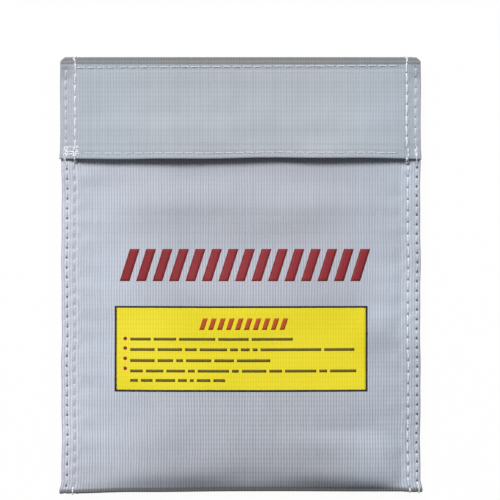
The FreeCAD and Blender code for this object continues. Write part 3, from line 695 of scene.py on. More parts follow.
def flap_base(X):
    P = np.zeros(X.shape + (3,))
    P[..., 0] = X
    Y = np.broadcast_to(fy[:, None], X.shape)
    P[..., 1], P[..., 2] = Y, fz[:, None]
    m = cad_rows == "flap"
    P[m, :, 2] += flap_lift(X[m], Y[m])
    hem = ss((70.0 - Y) / 10.0)
    P[..., 1] += hem * (-0.45 + 0.0028 * X + 0.22 * np.sin(X / 21.0 + 0.4) + 0.12 * np.sin(X / 8.3) - 0.25 * (np.abs(X) / 92.0) ** 8)
    P[..., 2] += hem * 0.12 * np.sin(X / 6.1 + 1.0) * np.where(m[:, None], 1, 0)
    return P


def flap_thick(x, v):
    y = C2[0] - (v - F_FLAT)
    te = 0.85 + 0.35 * ss((v - F_FLAT) / 4.0)
    edge = ss((np.abs(x) - 83.0) / 0.8)
    hem = ss((HEM_Y1 + 0.05 - y) / 0.25)
    mid = 0.62 + 0.58 * hem
    return mid + (te - mid) * edge


FLAP_ROWS = {("left", "outer"): (-88.8, PITCH, 2.2), ("left", "inner"): (-84.0, 5.6, 3.6),
             ("right", "outer"): (89.1, 5.1, 1.0), ("right", "inner"): (84.45, 5.4, 3.6)}
V_TOPROW = F_FLAT + C2[0] - 106.2
V_HEMROW = F_FLAT + C2[0] - 62.5
TILT = 0.0065                                     # the top row runs a little lower at the left
ACROSS = {"top": (V_TOPROW, 5.3, 0.8, 84.0, TILT), "hem": (V_HEMROW, 5.15, 2.1, 84.5, 0.0)}


def flap_up(x, v):
    d = dimple(x, v, list(FLAP_ROWS.values()), depth=0.22)
    for v0, pitch, phase, half, tilt in ACROSS.values():
        d = d + dimple(v + tilt * x, x, [(v0, pitch, phase)], depth=0.22, rx=0.6) * ss((half - np.abs(x)) / 1.0)
    for x0, pitch, phase in FLAP_ROWS.values():
        d = d - 0.04 * np.cos(2 * np.pi * (v - phase) / pitch + 0.5 * (x - x0)) * np.exp(-((x - x0) / 1.6) ** 2)
    w = v + TILT * x - V_TOPROW
    d = d + 0.08 * np.exp(-((w + 1.3) / 0.7) ** 2) - 0.14 * np.exp(-((w - 1.2) / 0.6) ** 2)
    d = d + 0.03 * waves(x * 2.0, v, 6.0, 56) * np.exp(-((np.abs(x) - 87.0) / 3.5) ** 2)
    ridge = 0.10 * np.exp(-((np.abs(x) - 83.4) / 0.7) ** 2) + 0.09 * np.exp(-((v - (F_FLAT + C2[0] - HEM_Y1)) / 0.8) ** 2)
    return d + ridge


hwf = np.array([half_width(y, "flap") for y in fy])
hwf[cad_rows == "wall"] = np.linspace(hw[-1], 91.8, 4)
hwf[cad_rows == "crease"] = np.linspace(91.8, half_width(C2[0], "flap"), 7)[1:]
xs_f = stations(HB - 0.7, 55)
re_f = np.where(fv < F_FLAT, 0.475, 0.475 + 0.12 * ss((fv - F_FLAT) / 4.0))


_, FU, FL, FUV, FN = build_sheet(xs_f, fv, flap_base, 91.9, hwf, flap_thick, False, True, re_f, flap_up, None)
# the last row of the pouch and the first of the flap are the same line, so their thicknesses agree there
FL[0], FU[0] = PL[-1], PU[-1]
FUV = FUV.copy()
FUV[..., 1] += V_MID

# ------------------------------------------------------------------ make the cloths
# radii and darkness of the painted shade in the needle holes, per seam row
HOLES = {("left", "outer"): (0.58, 0.72, 0.92), ("left", "inner"): (0.42, 0.50, 0.45), ("right", "outer"): (0.62, 0.78, 0.95),
         ("right", "inner"): (0.50, 0.60, 0.80)}
FLAP_HOLES = {("left", "outer"): (0.40, 0.50, 0.45), ("left", "inner"): (0.42, 0.45, 0.60), ("right", "outer"): (0.46, 0.55, 0.70),
              ("right", "inner"): (0.42, 0.45, 0.60)}
V_BAND = V_MID + F_FLAT + C2[0] - 107.3           # the band of painted shade along the top fold ends here
FLAP_UV = [(a, b, c + V_MID) + FLAP_HOLES[k] for k, (a, b, c) in FLAP_ROWS.items()]
ACROSS_UV = [(a + V_MID, b, c, d, e) for a, b, c, d, e in ACROSS.values()]
# soft patches of painted light (positive amounts) and painted shade (negative amounts) on the front: u, v, two radii,
# amount
PAINTED_LIGHT_AND_SHADE = [(-38, 177, 40, 13, 0.075), (50, 190, 26, 9, -0.085), (76, 113, 14, 20, 0.15), (-68, 127, 12, 11, -0.06), (-58, 62, 22, 8, -0.05),
          (8, 59, 16, 7, -0.04), (-80, 45, 9, 12, 0.07), (82, 45, 9, 12, 0.07), (-54, 208, 16, 5, -0.07), (48, 206, 16, 5, -0.08),
          (80, 205, 9, 8, 0.08), (5, 172, 26, 9, 0.04)]
M_CLOTH = cloth_material("coated_cloth", [r_ + HOLES[k] for k, r_ in SEAM_ROWS.items()],
                         painted_low_light=1.12, painted_side_light=(0.24, 0.10), painted_strip_light=(0.14, 0.09, -0.05), low_lines=True, light_and_shade_patches=PAINTED_LIGHT_AND_SHADE, reach=(0.5, V_HEEL - 1.6),
                         calm=(V_HEEL - 4.0, V_MID - 0.4, 0.58), base=(0.466, 0.487, 0.545),
                         fold_shade=[(V_NOSE0 - 0.7, V_NOSE0 + 0.25, V_NOSE1, V_NOSE1 + 2), (V_HEEL - 0.5, V_HEEL + 1.2, V_MID + 9, V_MID + 10)])
M_FLAP = cloth_material("coated_cloth_flap", FLAP_UV, base=(0.459, 0.492, 0.537), across=ACROSS_UV, rib_dark=(0.12, 0.12), line_dark=0.035,
                        dist=0.000035, reach=(V_MID + F_FLAT + 1.2, V_MID + F_END + 5),
                        fold_shade=[(V_MID - 10, V_MID - 9, V_BAND - 0.3, V_BAND + 0.3)], groove_shade=V_MID + V_TOPROW + 1.2, painted_strip_light=(0.03, -0.08, -0.08))
M_HEM = cloth_material("coated_cloth_turned", [])
M_REVERSE = plain_weave_material("cloth_reverse", srgb(196, 196, 188), 0.9, 0.45, 0.00006)
M_LINING = plain_weave_material("glass_lining", srgb(205, 204, 194), 1.15, 0.5, 0.00009)
M_THREAD = thread_material("white_thread", srgb(240, 242, 248))
# a darker copy of the white thread: painted shade for the stitches that lie sunk in the cloth
M_THREAD_SHADED = thread_material("thread_painted_shade", srgb(212, 215, 222))
M_YELLOW = ink_material("yellow_ink", srgb(240, 222, 24), 0.12, 0.5, 0.08)
M_RED = ink_material("red_ink", srgb(138, 20, 30), 0.16, 0.6, 0.10)
M_RED2 = ink_material("red_ink_panel", srgb(186, 78, 26), 0.14, 0.6, 0.06)
M_BLACK = ink_material("black_ink", srgb(34, 30, 28), 0.12, 0.6, 0.08)
M_BROWN = ink_material("black_ink_small", srgb(104, 90, 18), 0.12, 0.6, 0.06)
M_LOOPB = plain_weave_material("loop_backing", srgb(120, 123, 128), 0.55, 0.5, 0.00005, 0.85)
M_LOOP = nylon_material("loop_pile", srgb(140, 143, 148))
M_HOOKB = plain_weave_material("hook_backing", srgb(112, 115, 120), 0.55, 0.5, 0.00005, 0.8)
M_HOOK = nylon_material("hook_nylon", srgb(150, 152, 156))


def low_slots(shape, x_nom, v_nom, is_coated):
    r, c = shape
    xm = (np.abs(x_nom[:-1]) + np.abs(x_nom[1:])) / 2
    vm = (v_nom[:-1] + v_nom[1:]) / 2
    return is_coated(np.broadcast_to(xm, (r - 1, c - 1)), np.broadcast_to(vm[:, None], (r - 1, c - 1))).astype(int).ravel()


def sheet_object(name, U, L, uv, mats, low):
    return two_layers(name, U, L, uv, mats, low_slot=low)


low = 2 - low_slots(PU.shape[:2], xn, vv, lambda x, v: (x > 82.4) | (v < 8.2))
pouch = sheet_object("pouch_cloth", PU, PL, PUV, [M_CLOTH, M_HEM, M_REVERSE], low)
n_, c_ = PU.shape[0] * PU.shape[1], PU.shape[1]
sharpen(pouch, [np.arange(n_ - c_, n_), np.arange(2 * n_ - c_, 2 * n_)])
low = 2 - low_slots(FU.shape[:2], xn, fv, lambda x, v: (x > 83.4) | (v > F_FLAT + C2[0] - HEM_Y1))
flap = sheet_object("flap_cloth", FU, FL, FUV, [M_FLAP, M_HEM, M_REVERSE], low)
n_ = FU.shape[0] * FU.shape[1]
sharpen(flap, [np.arange(0, c_), np.arange(n_, n_ + c_)])
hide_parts("front_outer_cloth", "back_outer_cloth", "bottom_fold_cloth", "top_fold_cloth", "left_seam_allowance",
            "right_seam_allowance", "mouth_hem")
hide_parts("flap_outer_cloth", "flap_left_hem", "flap_right_hem", "flap_lower_hem")


def lower_blend(o):
    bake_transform(o)


def upper_blend(o):
    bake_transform(o)


lower_blend(pouch)
upper_blend(flap)

S_POUCH = Surface(xn, vv, PU)
S_POUCH_IN = Surface(xn, vv, PL, -1.0)
S_FLAP = Surface(xn, fv, FU)
S_FLAP_IN = Surface(xn, fv, FL, -1.0)


# ------------------------------------------------------------------ sewing thread
def plied(name, paths, normals, strand=0.20, twist=0.17, turns_per_mm=0.42, sides=6, shade_painted=False):
    """Two-ply thread along each path of (n, 3) points. All paths have the same number of points."""
    P, N = np.asarray(paths), np.asarray(normals)
    k, n = P.shape[:2]
    T = unit(np.gradient(P, axis=1))
    N = unit(N - (N * T).sum(-1, keepdims=True) * T)
    B = np.cross(T, N)
    seg = np.linalg.norm(np.diff(P, axis=1), axis=-1)
    s = np.concatenate([np.zeros((k, 1)), np.cumsum(seg, axis=1)], axis=1)
    phase = np.random.default_rng(len(name) + k).uniform(0, 2 * np.pi, (k, 1))
    verts, quads, tris, uvs = [], [], [], []
    base = 0
    for ply in (0, math.pi):
        a = 2 * np.pi * turns_per_mm * s + ply + phase
        C = P + twist * (np.cos(a)[..., None] * N + np.sin(a)[..., None] * B)
        ang = 2 * np.pi * np.arange(sides) / sides
        ring = C[:, :, None] + strand * (np.cos(ang)[None, None, :, None] * N[:, :, None] + np.sin(ang)[None, None, :, None] * B[:, :, None])
        verts.append(ring.reshape(-1, 3))
        uvs.append(np.stack([np.broadcast_to(s[:, :, None], (k, n, sides)), np.broadcast_to(ang * strand, (k, n, sides))], -1).reshape(-1, 2))
        idx = (np.arange(k * n * sides) + base).reshape(k, n, sides)
        nx = np.roll(idx, -1, axis=2)
        quads.append(np.stack([idx[:, :-1], idx[:, 1:], nx[:, 1:], nx[:, :-1]], -1).reshape(-1, 4))
        for end, flip in ((0, True), (n - 1, False)):
            c = idx[:, end]
            fan = np.stack([np.repeat(c[:, :1], sides - 2, 1), c[:, 1:-1], c[:, 2:]], -1).reshape(-1, 3)
            tris.append(fan[:, ::-1] if flip else fan)
        base += k * n * sides
    o = mesh_object(name, np.concatenate(verts), np.concatenate(quads), np.concatenate(tris), np.concatenate(uvs),
                    [M_THREAD_SHADED if shade_painted else M_THREAD])
    return o


def stitch_paths(surf, ends, across=False, n=13, rise=0.30, dip=0.45, jitter=0.05, seed=1, cover=0.93):
    """Centrelines of single stitches. ends are (fixed coordinate, start, end): along v, or along x with across."""
    r = np.random.default_rng(seed)
    s = np.linspace(0, 1, n)
    paths, norms = [], []
    for c, a, b in ends:
        slant = r.normal(0, jitter, 2)
        run = a + (b - a) * ((1 - cover) / 2 + cover * s)
        side = c + slant[0] * (s - 0.5) * 2 + slant[1] * 0.4 * np.sin(np.pi * s)
        h = -dip + (dip + rise * r.uniform(0.85, 1.15)) * np.clip(np.sin(np.pi * s), 0, 1) ** 0.42
        p, nn = surf.at(run, side) if across else surf.at(side, run)
        paths.append(p + nn * h[:, None])
        norms.append(nn)
    return paths, norms


def seam_ends(row, v0, v1):
    x, pitch, phase = row
    k0 = math.ceil((v0 - phase) / pitch)
    ks = [k for k in range(k0, k0 + 200) if phase + (k + 1) * pitch <= v1]
    return [(x, phase + k * pitch, phase + (k + 1) * pitch) for k in ks]


threads = {}
for (side, which), row in SEAM_ROWS.items():
    # front
    ends = seam_ends(row, 1.0, V_NOSE0 - 0.3)
    bold = (side, which) == ("right", "inner")
    ps, ns = stitch_paths(S_POUCH, ends, seed=int(abs(row[0]) * 10), rise=0.20 if bold else 0.14, dip=0.5,
                          cover=0.88 if bold else (0.80 if which == "outer" else 0.93))
    if bold:                                       # lower down it is pulled tighter and sinks into the cloth
        n_ = sum(e[1] < 152.0 for e in ends)
        p2, n2 = stitch_paths(S_POUCH, ends[n_:], seed=77, rise=-0.02, dip=0.5, cover=0.78)
        ps, ns = ps[:n_] + p2, ns[:n_] + n2
    o = plied("%s_%s_seam_front" % (side, which), ps, ns, strand=0.22 if bold else 0.21, shade_painted=not bold)
    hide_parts("%s_%s_seam_front_thread" % (side, which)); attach(o, "pouch")
    last = ends[-1][2]
    # round the bottom fold, then the back
    first_back = V_NOSE1 + 1.2
    if (side, which) != ("left", "outer"):
        p, nn = stitch_paths(S_POUCH, [(row[0], last, first_back)], n=27, rise=0.30, jitter=0.05, seed=5)
        threads.setdefault(side + "_bottom", []).append((p[0], nn[0]))
    k0 = math.ceil((first_back - row[2]) / row[1])
    start = row[2] + k0 * row[1]
    ends = [(row[0], first_back, start)] if start - first_back > 2.0 else []
    ends += seam_ends(row, start - 1e-6, V_HEEL - 1.6)
    ps, ns = stitch_paths(S_POUCH, ends, seed=int(abs(row[0]) * 10) + 3, n=9)
    o = plied("%s_%s_seam_back" % (side, which), ps, ns, sides=5)
    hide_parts("%s_%s_seam_back_thread" % (side, which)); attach(o, "pouch")
    threads[(side, which, "heel")] = ends[-1][2]
for side in ("left", "right"):
    got = threads[side + "_bottom"]
    o = plied(side + "_bottom_fold_thread", [g[0] for g in got], [g[1] for g in got], strand=0.31, twist=0.17)
    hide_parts("bottom_fold_%s_threads" % side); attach(o, "pouch")
    # over the back crease and up the top fold
    row = SEAM_ROWS[(side, "inner")]
    s = np.linspace(0, 1, 25)
    run = threads[(side, "inner", "heel")] + (V_MID - threads[(side, "inner", "heel")]) * s
    p, nn = S_POUCH.at(row[0] + (math.copysign(85.8, row[0]) - row[0]) * ss(s), run)
    h = np.where(s < 0.08, -0.45 + 0.75 * (s / 0.08) ** 0.5, 0.30)
    o = plied(side + "_top_fold_thread", [p + nn * h[:, None]], [nn], strand=0.31, twist=0.17)
    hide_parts("top_fold_%s_threads" % side)
    lower_blend(o)

for (side, which), row in FLAP_ROWS.items():
    x, pitch, phase = row
    outs, ins = [], []
    ends = seam_ends(row, 3.4 if which == "inner" else F_FLAT + 1.0, F_END - 0.4)
    ps, ns = stitch_paths(S_FLAP, ends, seed=int(abs(x) * 10) + 11, rise=0.34 if which == "inner" else 0.16, cover=0.95)
    if which == "inner":                                             # the long stitch over the front crease
        s = np.linspace(0, 1, 13)
        run = ends[0][1] * s
        p, nn = S_FLAP.at(math.copysign(85.8, x) + (x - math.copysign(85.8, x)) * ss(s), run)
        h = np.where(s > 0.85, 0.30 - 0.75 * ((s - 0.85) / 0.15) ** 2, 0.30)
        ps.insert(0, p + nn * h[:, None]); ns.insert(0, nn)
    pu, nu = stitch_paths(S_FLAP_IN, ends, seed=int(abs(x) * 10) + 17)
    P = ps + pu
    o = plied("flap_%s_%s" % (side, which), P, ns + nu, strand=0.31 if which == "inner" else 0.21, twist=0.17, shade_painted=which == "outer")
    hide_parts("flap_%s_%s_thread" % (side, which))
    upper_blend(o)

for key, node in (("top", "flap_top_thread"), ("hem", "flap_hem_thread")):
    v0, pitch, phase, half, tilt = ACROSS[key]
    n = int((2 * half) // pitch)
    k0 = math.ceil((-half - phase) / pitch)
    ends = [(v0 - tilt * (phase + (k + 0.5) * pitch), phase + k * pitch, phase + (k + 1) * pitch) for k in range(k0, k0 + n)
            if phase + (k + 1) * pitch < half]
    ps, ns = stitch_paths(S_FLAP, ends, across=True, seed=61 + len(key), rise=0.18 if key == "top" else 0.14, jitter=0.07)
    pu, nu = stitch_paths(S_FLAP_IN, ends, across=True, seed=71 + len(key), rise=0.30)
    # inside, this row lies on the hook tape's backing
    pu = [p + n2 * 0.5 for p, n2 in zip(pu, nu)]
    o = plied("flap_%s_row" % key, ps + pu, ns + nu, shade_painted=True)
    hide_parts(node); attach(o, "flap")


# ------------------------------------------------------------------ back-tacked corners of the flap
for side, sx in (("left", -1), ("right", 1)):
    xo, xi = abs(FLAP_ROWS[(side, "outer")][0]), abs(FLAP_ROWS[(side, "inner")][0])
    vh = V_HEMROW
    r = np.random.default_rng(101 if side == "left" else 202)
    if side == "left":                                               # rows of short stitches: (fixed, from, to, pitch, rise)
        down = [(-xo - 0.7, 6.2, 0.5, 2.4, 0.02), (-xo + 0.1, 5.0, 0.4, 2.0, 0.18), (-xo + 0.85, 6.4, 0.6, 2.7, 0.0),
                (-xi - 0.65, 6.0, 0.5, 2.3, 0.08), (-xi + 0.75, 6.6, 0.9, 2.1, -0.04)]
        over = [(vh - 0.75, -xo - 0.6, -xi + 2.0, 2.2, 0.12), (vh + 0.05, -xo - 0.9, -xi + 2.4, 2.6, 0.22), (vh + 0.85, -xo - 0.2, -xi + 1.0, 1.9, 0.08),
                (vh - 2.9, -xo - 0.7, -xi + 2.1, 1.8, -0.06)]
    else:
        down = [(xo - 0.35, 5.0, 0.5, 2.3, 0.12), (xo + 0.4, 6.5, 0.8, 2.6, 0.08), (xi + 0.55, 5.2, 0.5, 2.4, 0.12)]
        over = []
    P, Q = [], []
    for i, (c, a, b, pitch, rise) in enumerate([(c, F_END - a, F_END - b, d, e) for c, a, b, d, e in down] + over):
        n = max(int(round((b - a) / pitch)), 1)
        cuts = np.linspace(a, b, n + 1)
        cuts[1:-1] += r.uniform(-0.35, 0.35, n - 1)
        p, nn = stitch_paths(S_FLAP, [(c + r.uniform(-0.12, 0.12), cuts[k], cuts[k + 1]) for k in range(n)], across=i >= len(down), n=17,
                             rise=rise + 0.1, dip=0.4, jitter=0.13, seed=300 + i + (50 if side == "right" else 0), cover=0.86)
        P += p; Q += nn
    # threads that wrap round the hem's edge, at each seam
    for x0 in (xo, xi):
        for dx in (0.1,):
            a = np.radians(np.linspace(100, -80, 17))
            c, _ = S_FLAP.at(sx * (x0 + dx), F_END - 0.9)
            e, _ = S_FLAP.at(sx * (x0 + dx), F_END)
            mid = np.array([c[0], e[1] + 0.55, c[2] - 0.6])
            p = np.stack([np.full(17, c[0]), mid[1] - 0.95 * np.cos(a), mid[2] + 0.95 * np.sin(a)], -1)
            nn = np.stack([np.zeros(17), -np.cos(a), np.sin(a)], -1)
            P.append(p); Q.append(nn)
    # cut ends that hang over the hem onto the body
    for x0, dx, drop in (((xo, -0.2, 2.6), (xo, 0.5, 1.7), (xi, 0.1, 1.8)) if side == "left" else ((xi, -0.3, 2.0), (xo, 0.2, 1.6))):
        c, _ = S_FLAP.at(sx * (x0 + dx), F_END - 1.6, 0.35)
        e, _ = S_FLAP.at(sx * (x0 + dx), F_END, 0.30)
        b, _ = S_POUCH.at(sx * (x0 + dx + 0.3), Y_MOUTH - (e[1] - drop), 0.45)
        m = np.array([e[0] + 0.1, e[1] - 0.75, e[2] - 0.5])
        ctl = np.array([c, (c + e) / 2 + [0, 0, 0.05], e + [0, -0.15, 0.05], m, (m + b) / 2 + [0.1, 0, 0], b])
        t = np.linspace(0, len(ctl) - 1, 17)
        p = np.stack([np.interp(t, np.arange(len(ctl)), ctl[:, i]) for i in range(3)], -1)
        for _ in range(2):
            p[1:-1] = (p[:-2] + 2 * p[1:-1] + p[2:]) / 4
        P.append(p)
        Q.append(unit(np.cross(np.gradient(p, axis=0), np.array([1.0, 0.0, 0.0]))) * -1.0)
    o = plied("flap_%s_back_tack" % side, P, Q, strand=0.21, twist=0.15)
    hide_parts("flap_%s_corner_tack" % side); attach(o, "flap")


# ------------------------------------------------------------------ patches that lie on a surface
def patch(surf, corners, nx, ny, lift, thick, name=None):
    """Upper and lower faces of a thin patch. corners are flat (x, v) at (0,0), (1,0), (1,1), (0,1)."""
    s, t = np.meshgrid(np.linspace(0, 1, nx), np.linspace(0, 1, ny))
    c = np.asarray(corners, float)
    x = (1 - s) * (1 - t) * c[0, 0] + s * (1 - t) * c[1, 0] + s * t * c[2, 0] + (1 - s) * t * c[3, 0]
    v = (1 - s) * (1 - t) * c[0, 1] + s * (1 - t) * c[1, 1] + s * t * c[2, 1] + (1 - s) * t * c[3, 1]
    up, _ = surf.at(x, v, lift + thick)
    lo, _ = surf.at(x, v, lift)
    return up, lo, np.stack([x, v], -1)


def join_patches(name, parts, mats):
    verts, quads, uvs, slots, base = [], [], [], [], 0
    for up, lo, uv, slot in parts:
        r, c = up.shape[:2]
        n = r * c
        i = np.arange(n).reshape(r, c) + base
        j = i + n
        verts += [up.reshape(-1, 3), lo.reshape(-1, 3)]
        uvs += [uv.reshape(-1, 2)] * 2
        q = [grid_faces(r, c, base), grid_faces(r, c, base + n, True)]
        for a, b in ((i[0], j[0]), (i[-1][::-1], j[-1][::-1]), (i[:, 0][::-1], j[:, 0][::-1]), (i[:, -1], j[:, -1])):
            q.append(np.stack([a[:-1], b[:-1], b[1:], a[1:]], -1))
        q = np.concatenate(q)
        quads.append(q); slots.append(np.full(len(q), slot)); base += 2 * n
    return mesh_object(name, np.concatenate(verts), np.concatenate(quads), uv=np.concatenate(uvs), mats=mats, slots=np.concatenate(slots))


def fv_(y):
    return Y_MOUTH - y


# ------------------------------------------------------------------ printing
(px0, py0, _), (px1, py1, _) = mm("print_panel_frame")
(bx0, _, _), (bx1, by1, _) = mm("print_red_marks")
FW = 1.0
LIFT, FILM = 0.03, 0.03
up, lo, uv = patch(S_POUCH, [(px0 + FW / 2, fv_(py1 - FW / 2)), (px1 - FW / 2, fv_(py1 - FW / 2)), (px1 - FW / 2, fv_(py0 + FW / 2)), (px0 + FW / 2, fv_(py0 + FW / 2))],
                   72, 54, LIFT, FILM)
panel = join_patches("panel_print", [(up, lo, uv, 0)], [M_YELLOW])
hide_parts("print_panel"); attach(panel, "pouch")
bars = []
for (ax, ay), (cx, cy) in (((px0, py1), (px1, py1 - FW)), ((px0, py0 + FW), (px1, py0)), ((px0, py1 - FW), (px0 + FW, py0 + FW)), ((px1 - FW, py1 - FW), (px1, py0 + FW))):
    nx, ny = (80, 3) if cx - ax > 5 else (3, 54)
    bars.append(patch(S_POUCH, [(ax, fv_(ay)), (cx, fv_(ay)), (cx, fv_(cy)), (ax, fv_(cy))], nx, ny, LIFT + 0.02, FILM) + (0,))
edge = join_patches("panel_frame_print", bars, [M_BLACK])
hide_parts("print_panel_frame"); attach(edge, "pouch")


def slanted(x0, x1, y0, y1, spans, lean, slot, lift, ny=8):
    return [patch(S_POUCH, [(a + lean, fv_(y1)), (b + lean, fv_(y1)), (b, fv_(y0)), (a, fv_(y0))], 4, ny, lift, FILM) + (slot,) for a, b in spans]


BAND_Y0, BAND_Y1 = -3.3, by1
lean, n_bars = 5.2, 15
step = (bx1 - bx0 - lean + 3.4) / n_bars
reds = slanted(bx0, bx1, BAND_Y0, BAND_Y1, [(bx0 + i * step, bx0 + i * step + step - 3.4) for i in range(n_bars)], lean, 0, LIFT, 16)
reds += slanted(-21.0, 26.2, -28.1, -22.2, [(-21.0 + 4.55 * i, -21.0 + 4.55 * i + 2.5) for i in range(10)], 1.9, 1, LIFT + 0.04, 6)
for y in (-32.6, -37.5, -42.7, -47.8):                               # round dots
    s = np.linspace(0, 2 * np.pi, 25)
    rr = np.array([0.0, 0.5, 0.95])
    x = -58.9 + rr[:, None] * np.cos(s)[None]
    yy = y + rr[:, None] * np.sin(s)[None]
    u_, _ = S_POUCH.at(x, fv_(yy), LIFT + 0.04 + FILM)
    l_, _ = S_POUCH.at(x, fv_(yy), LIFT + 0.04)
    reds.append((u_[:, ::-1], l_[:, ::-1], np.stack([x, fv_(yy)], -1)[:, ::-1], 2))
red = join_patches("red_marks", reds, [M_RED, M_RED2, M_RED])
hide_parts("print_red_marks"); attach(red, "pouch")
LINES = [
    (-32.9, -56.3, (10.5, 11.5, 18.5, 15.5, 21.0)),
    (-38.2, -56.3, (12.5, 12.5, 6.0, 14.0, 4.0, 4.5, 2.5, 31.0, 15.5)),
    (-43.8, -56.3, (12.5, 8.0, 3.5, 13.0, 10.0, 17.0)),
    (-49.1, -56.3, (6.5, 9.0, 9.5, 3.5, 16.0, 3.5, 12.5, 6.5, 16.0, 4.0, 13.5)),
    (-53.9, -56.3, (4.0, 6.0, 10.0, 4.5, 2.0, 7.0, 6.0)),
]
blacks = []
for y, x, words in LINES:
    for w in words:
        blacks.append(patch(S_POUCH, [(x, fv_(y + 0.72)), (x + w, fv_(y + 0.72)), (x + w, fv_(y - 0.72)), (x, fv_(y - 0.72))],
                            max(3, int(w / 1.5)), 3, LIFT + 0.04, FILM) + (0,))
        x += w + 1.5
black = join_patches("panel_lines", blacks, [M_BROWN])
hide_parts("print_black_marks"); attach(black, "pouch")

# ------------------------------------------------------------------ hook-and-loop tapes
(lx0, ly0, _), (lx1, ly1, _) = mm("loop_tape")
(hx0, hy0, _), (hx1, hy1, _) = mm("hook_tape")


def tape(name, surf, x0, x1, va, vb, thick, mat, lumps):
    s = np.linspace(0, 1, 60)
    rise = np.concatenate([[0.0], np.full(58, 1.0), [0.0]])
    x, v = np.meshgrid(np.linspace(x0, x1, 110), va + (vb - va) * s)
    lump = lumps * waves(x, v, 2.6, 77) * ss((np.minimum(np.abs(v - va), np.abs(v - vb)) - 3.0) / 1.0)
    edge = np.minimum(1, np.minimum(np.abs(x - x0), np.abs(x - x1)) / 0.4) ** 0.5
    edge = edge * np.minimum(1, np.minimum(np.abs(v - va), np.abs(v - vb)) / 0.5) ** 0.5
    up, _ = surf.at(x, v, 0.12 + (thick - 0.12) * edge + lump)
    lo, _ = surf.at(x, v, 0.03)
    return two_layers(name, up, lo, np.stack([x, v], -1), [mat])


loop_back = tape("loop_tape_backing", S_POUCH, lx0, lx1, fv_(ly1), fv_(ly0), 0.5, M_LOOPB, 0.05)
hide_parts("loop_tape"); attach(loop_back, "pouch")
hv0, hv1 = F_FLAT + C2[0] - hy1, F_FLAT + C2[0] - hy0
hook_back = tape("hook_tape_backing", S_FLAP_IN, hx0, hx1, hv0, hv1, 0.5, M_HOOKB, 0.0)
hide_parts("hook_tape"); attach(hook_back, "flap")


def many(name, template, tube, sides, centres, normals, headings, sizes, mat):
    """Copies of one small bent thread. template is (n, 2): along the heading, and up."""
    N = unit(normals)
    H = unit(headings - (headings * N).sum(-1, keepdims=True) * N)
    S = np.cross(N, H)
    k, n = len(centres), len(template)
    C = centres[:, None] + sizes[:, None, None] * (template[None, :, :1] * H[:, None] + template[None, :, 1:2] * N[:, None])
    T = unit(np.gradient(C, axis=1))
    A = np.broadcast_to(S[:, None], T.shape)
    B = np.cross(T, A)
    ang = 2 * np.pi * np.arange(sides) / sides
    ring = C[:, :, None] + tube * (np.cos(ang)[None, None, :, None] * A[:, :, None] + np.sin(ang)[None, None, :, None] * B[:, :, None])
    idx = np.arange(k * n * sides).reshape(k, n, sides)
    nx = np.roll(idx, -1, axis=2)
    quads = np.stack([idx[:, :-1], nx[:, :-1], nx[:, 1:], idx[:, 1:]], -1).reshape(-1, 4)
    tris = []
    for end, flip in ((0, False), (n - 1, True)):
        c = idx[:, end]
        fan = np.stack([np.repeat(c[:, :1], sides - 2, 1), c[:, 1:-1], c[:, 2:]], -1).reshape(-1, 3)
        tris.append(fan[:, ::-1] if flip else fan)
    uv = np.zeros((k * n * sides, 2))
    return mesh_object(name, ring.reshape(-1, 3), quads, np.concatenate(tris), uv, [mat])


r = np.random.default_rng(5)
gx, gv = np.meshgrid(np.arange(lx0 + 1.2, lx1 - 1.0, 1.25), np.arange(fv_(ly1) + 3.6, fv_(ly0) - 3.4, 1.15))
gx = gx + r.uniform(-0.5, 0.5, gx.shape); gv = gv + r.uniform(-0.5, 0.5, gv.shape)
c, n = S_POUCH.at(gx.ravel(), gv.ravel(), 0.45)
a = r.uniform(0, 2 * np.pi, len(c))
t = np.radians(np.linspace(-20, 200, 7))
loop_t = np.stack([0.55 * np.cos(t), 0.22 + 0.36 * np.sin(t)], -1)
loops = many("loop_pile", loop_t, 0.075, 3, c, n, np.stack([np.cos(a), np.sin(a), 0 * a], -1), r.uniform(0.75, 1.25, len(c)), M_LOOP)
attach(loops, "pouch")
gx, gv = np.meshgrid(np.arange(hx0 + 1.2, hx1 - 1.0, 1.75), np.arange(hv0 + 3.6, hv1 - 3.4, 1.3))
gx = gx + (np.arange(gx.shape[0]) % 2)[:, None] * 0.8
c, n = S_FLAP_IN.at(gx.ravel(), gv.ravel(), 0.42)
head = np.zeros_like(c); head[:, 1] = np.where((np.arange(len(c)) % 2) == 0, 1.0, -1.0)
hook_t = np.array([[0.0, 0.0], [0.02, 0.25], [0.05, 0.45], [0.18, 0.60], [0.36, 0.60], [0.46, 0.47], [0.44, 0.36]])
hooks = many("hook_field", hook_t, 0.09, 4, c, n, head, np.full(len(c), 0.95), M_HOOK)
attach(hooks, "flap")
for node, vrow in (("loop_tape_upper_thread", fv_(ly1 - 1.5)), ("loop_tape_lower_thread", fv_(ly0 + 1.5))):
    n_st = int((lx1 - lx0 - 2) // 5.1)
    ends = [(vrow, lx0 + 1.2 + 5.1 * k, lx0 + 1.2 + 5.1 * (k + 1)) for k in range(n_st)]
    ps, ns = stitch_paths(S_POUCH, ends, across=True, seed=91, rise=0.30)
    ps = [p + q * 0.5 for p, q in zip(ps, ns)]
    o = plied(node.replace("_thread", "_row"), ps, ns)
    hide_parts(node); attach(o, "pouch")


# ------------------------------------------------------------------ linings
def lining(name, surf, half, v0, v1, nv, nodes, body=None, blend=None, gap=0.06, thick=0.3, seed=3):
    x, vg = np.meshgrid(np.linspace(-half, half, 60), np.linspace(v0, v1, nv))
    ripple = 0.05 * waves(x, vg, 14, seed)
    top, _ = surf.at(x, vg, gap + thick + np.abs(ripple))
    bot, _ = surf.at(x, vg, gap)
    o = two_layers(name, top, bot, np.stack([x, vg], -1), [M_LINING])
    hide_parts(*nodes)
    if blend:
        blend(o)
    else:
        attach(o, body)
    return o


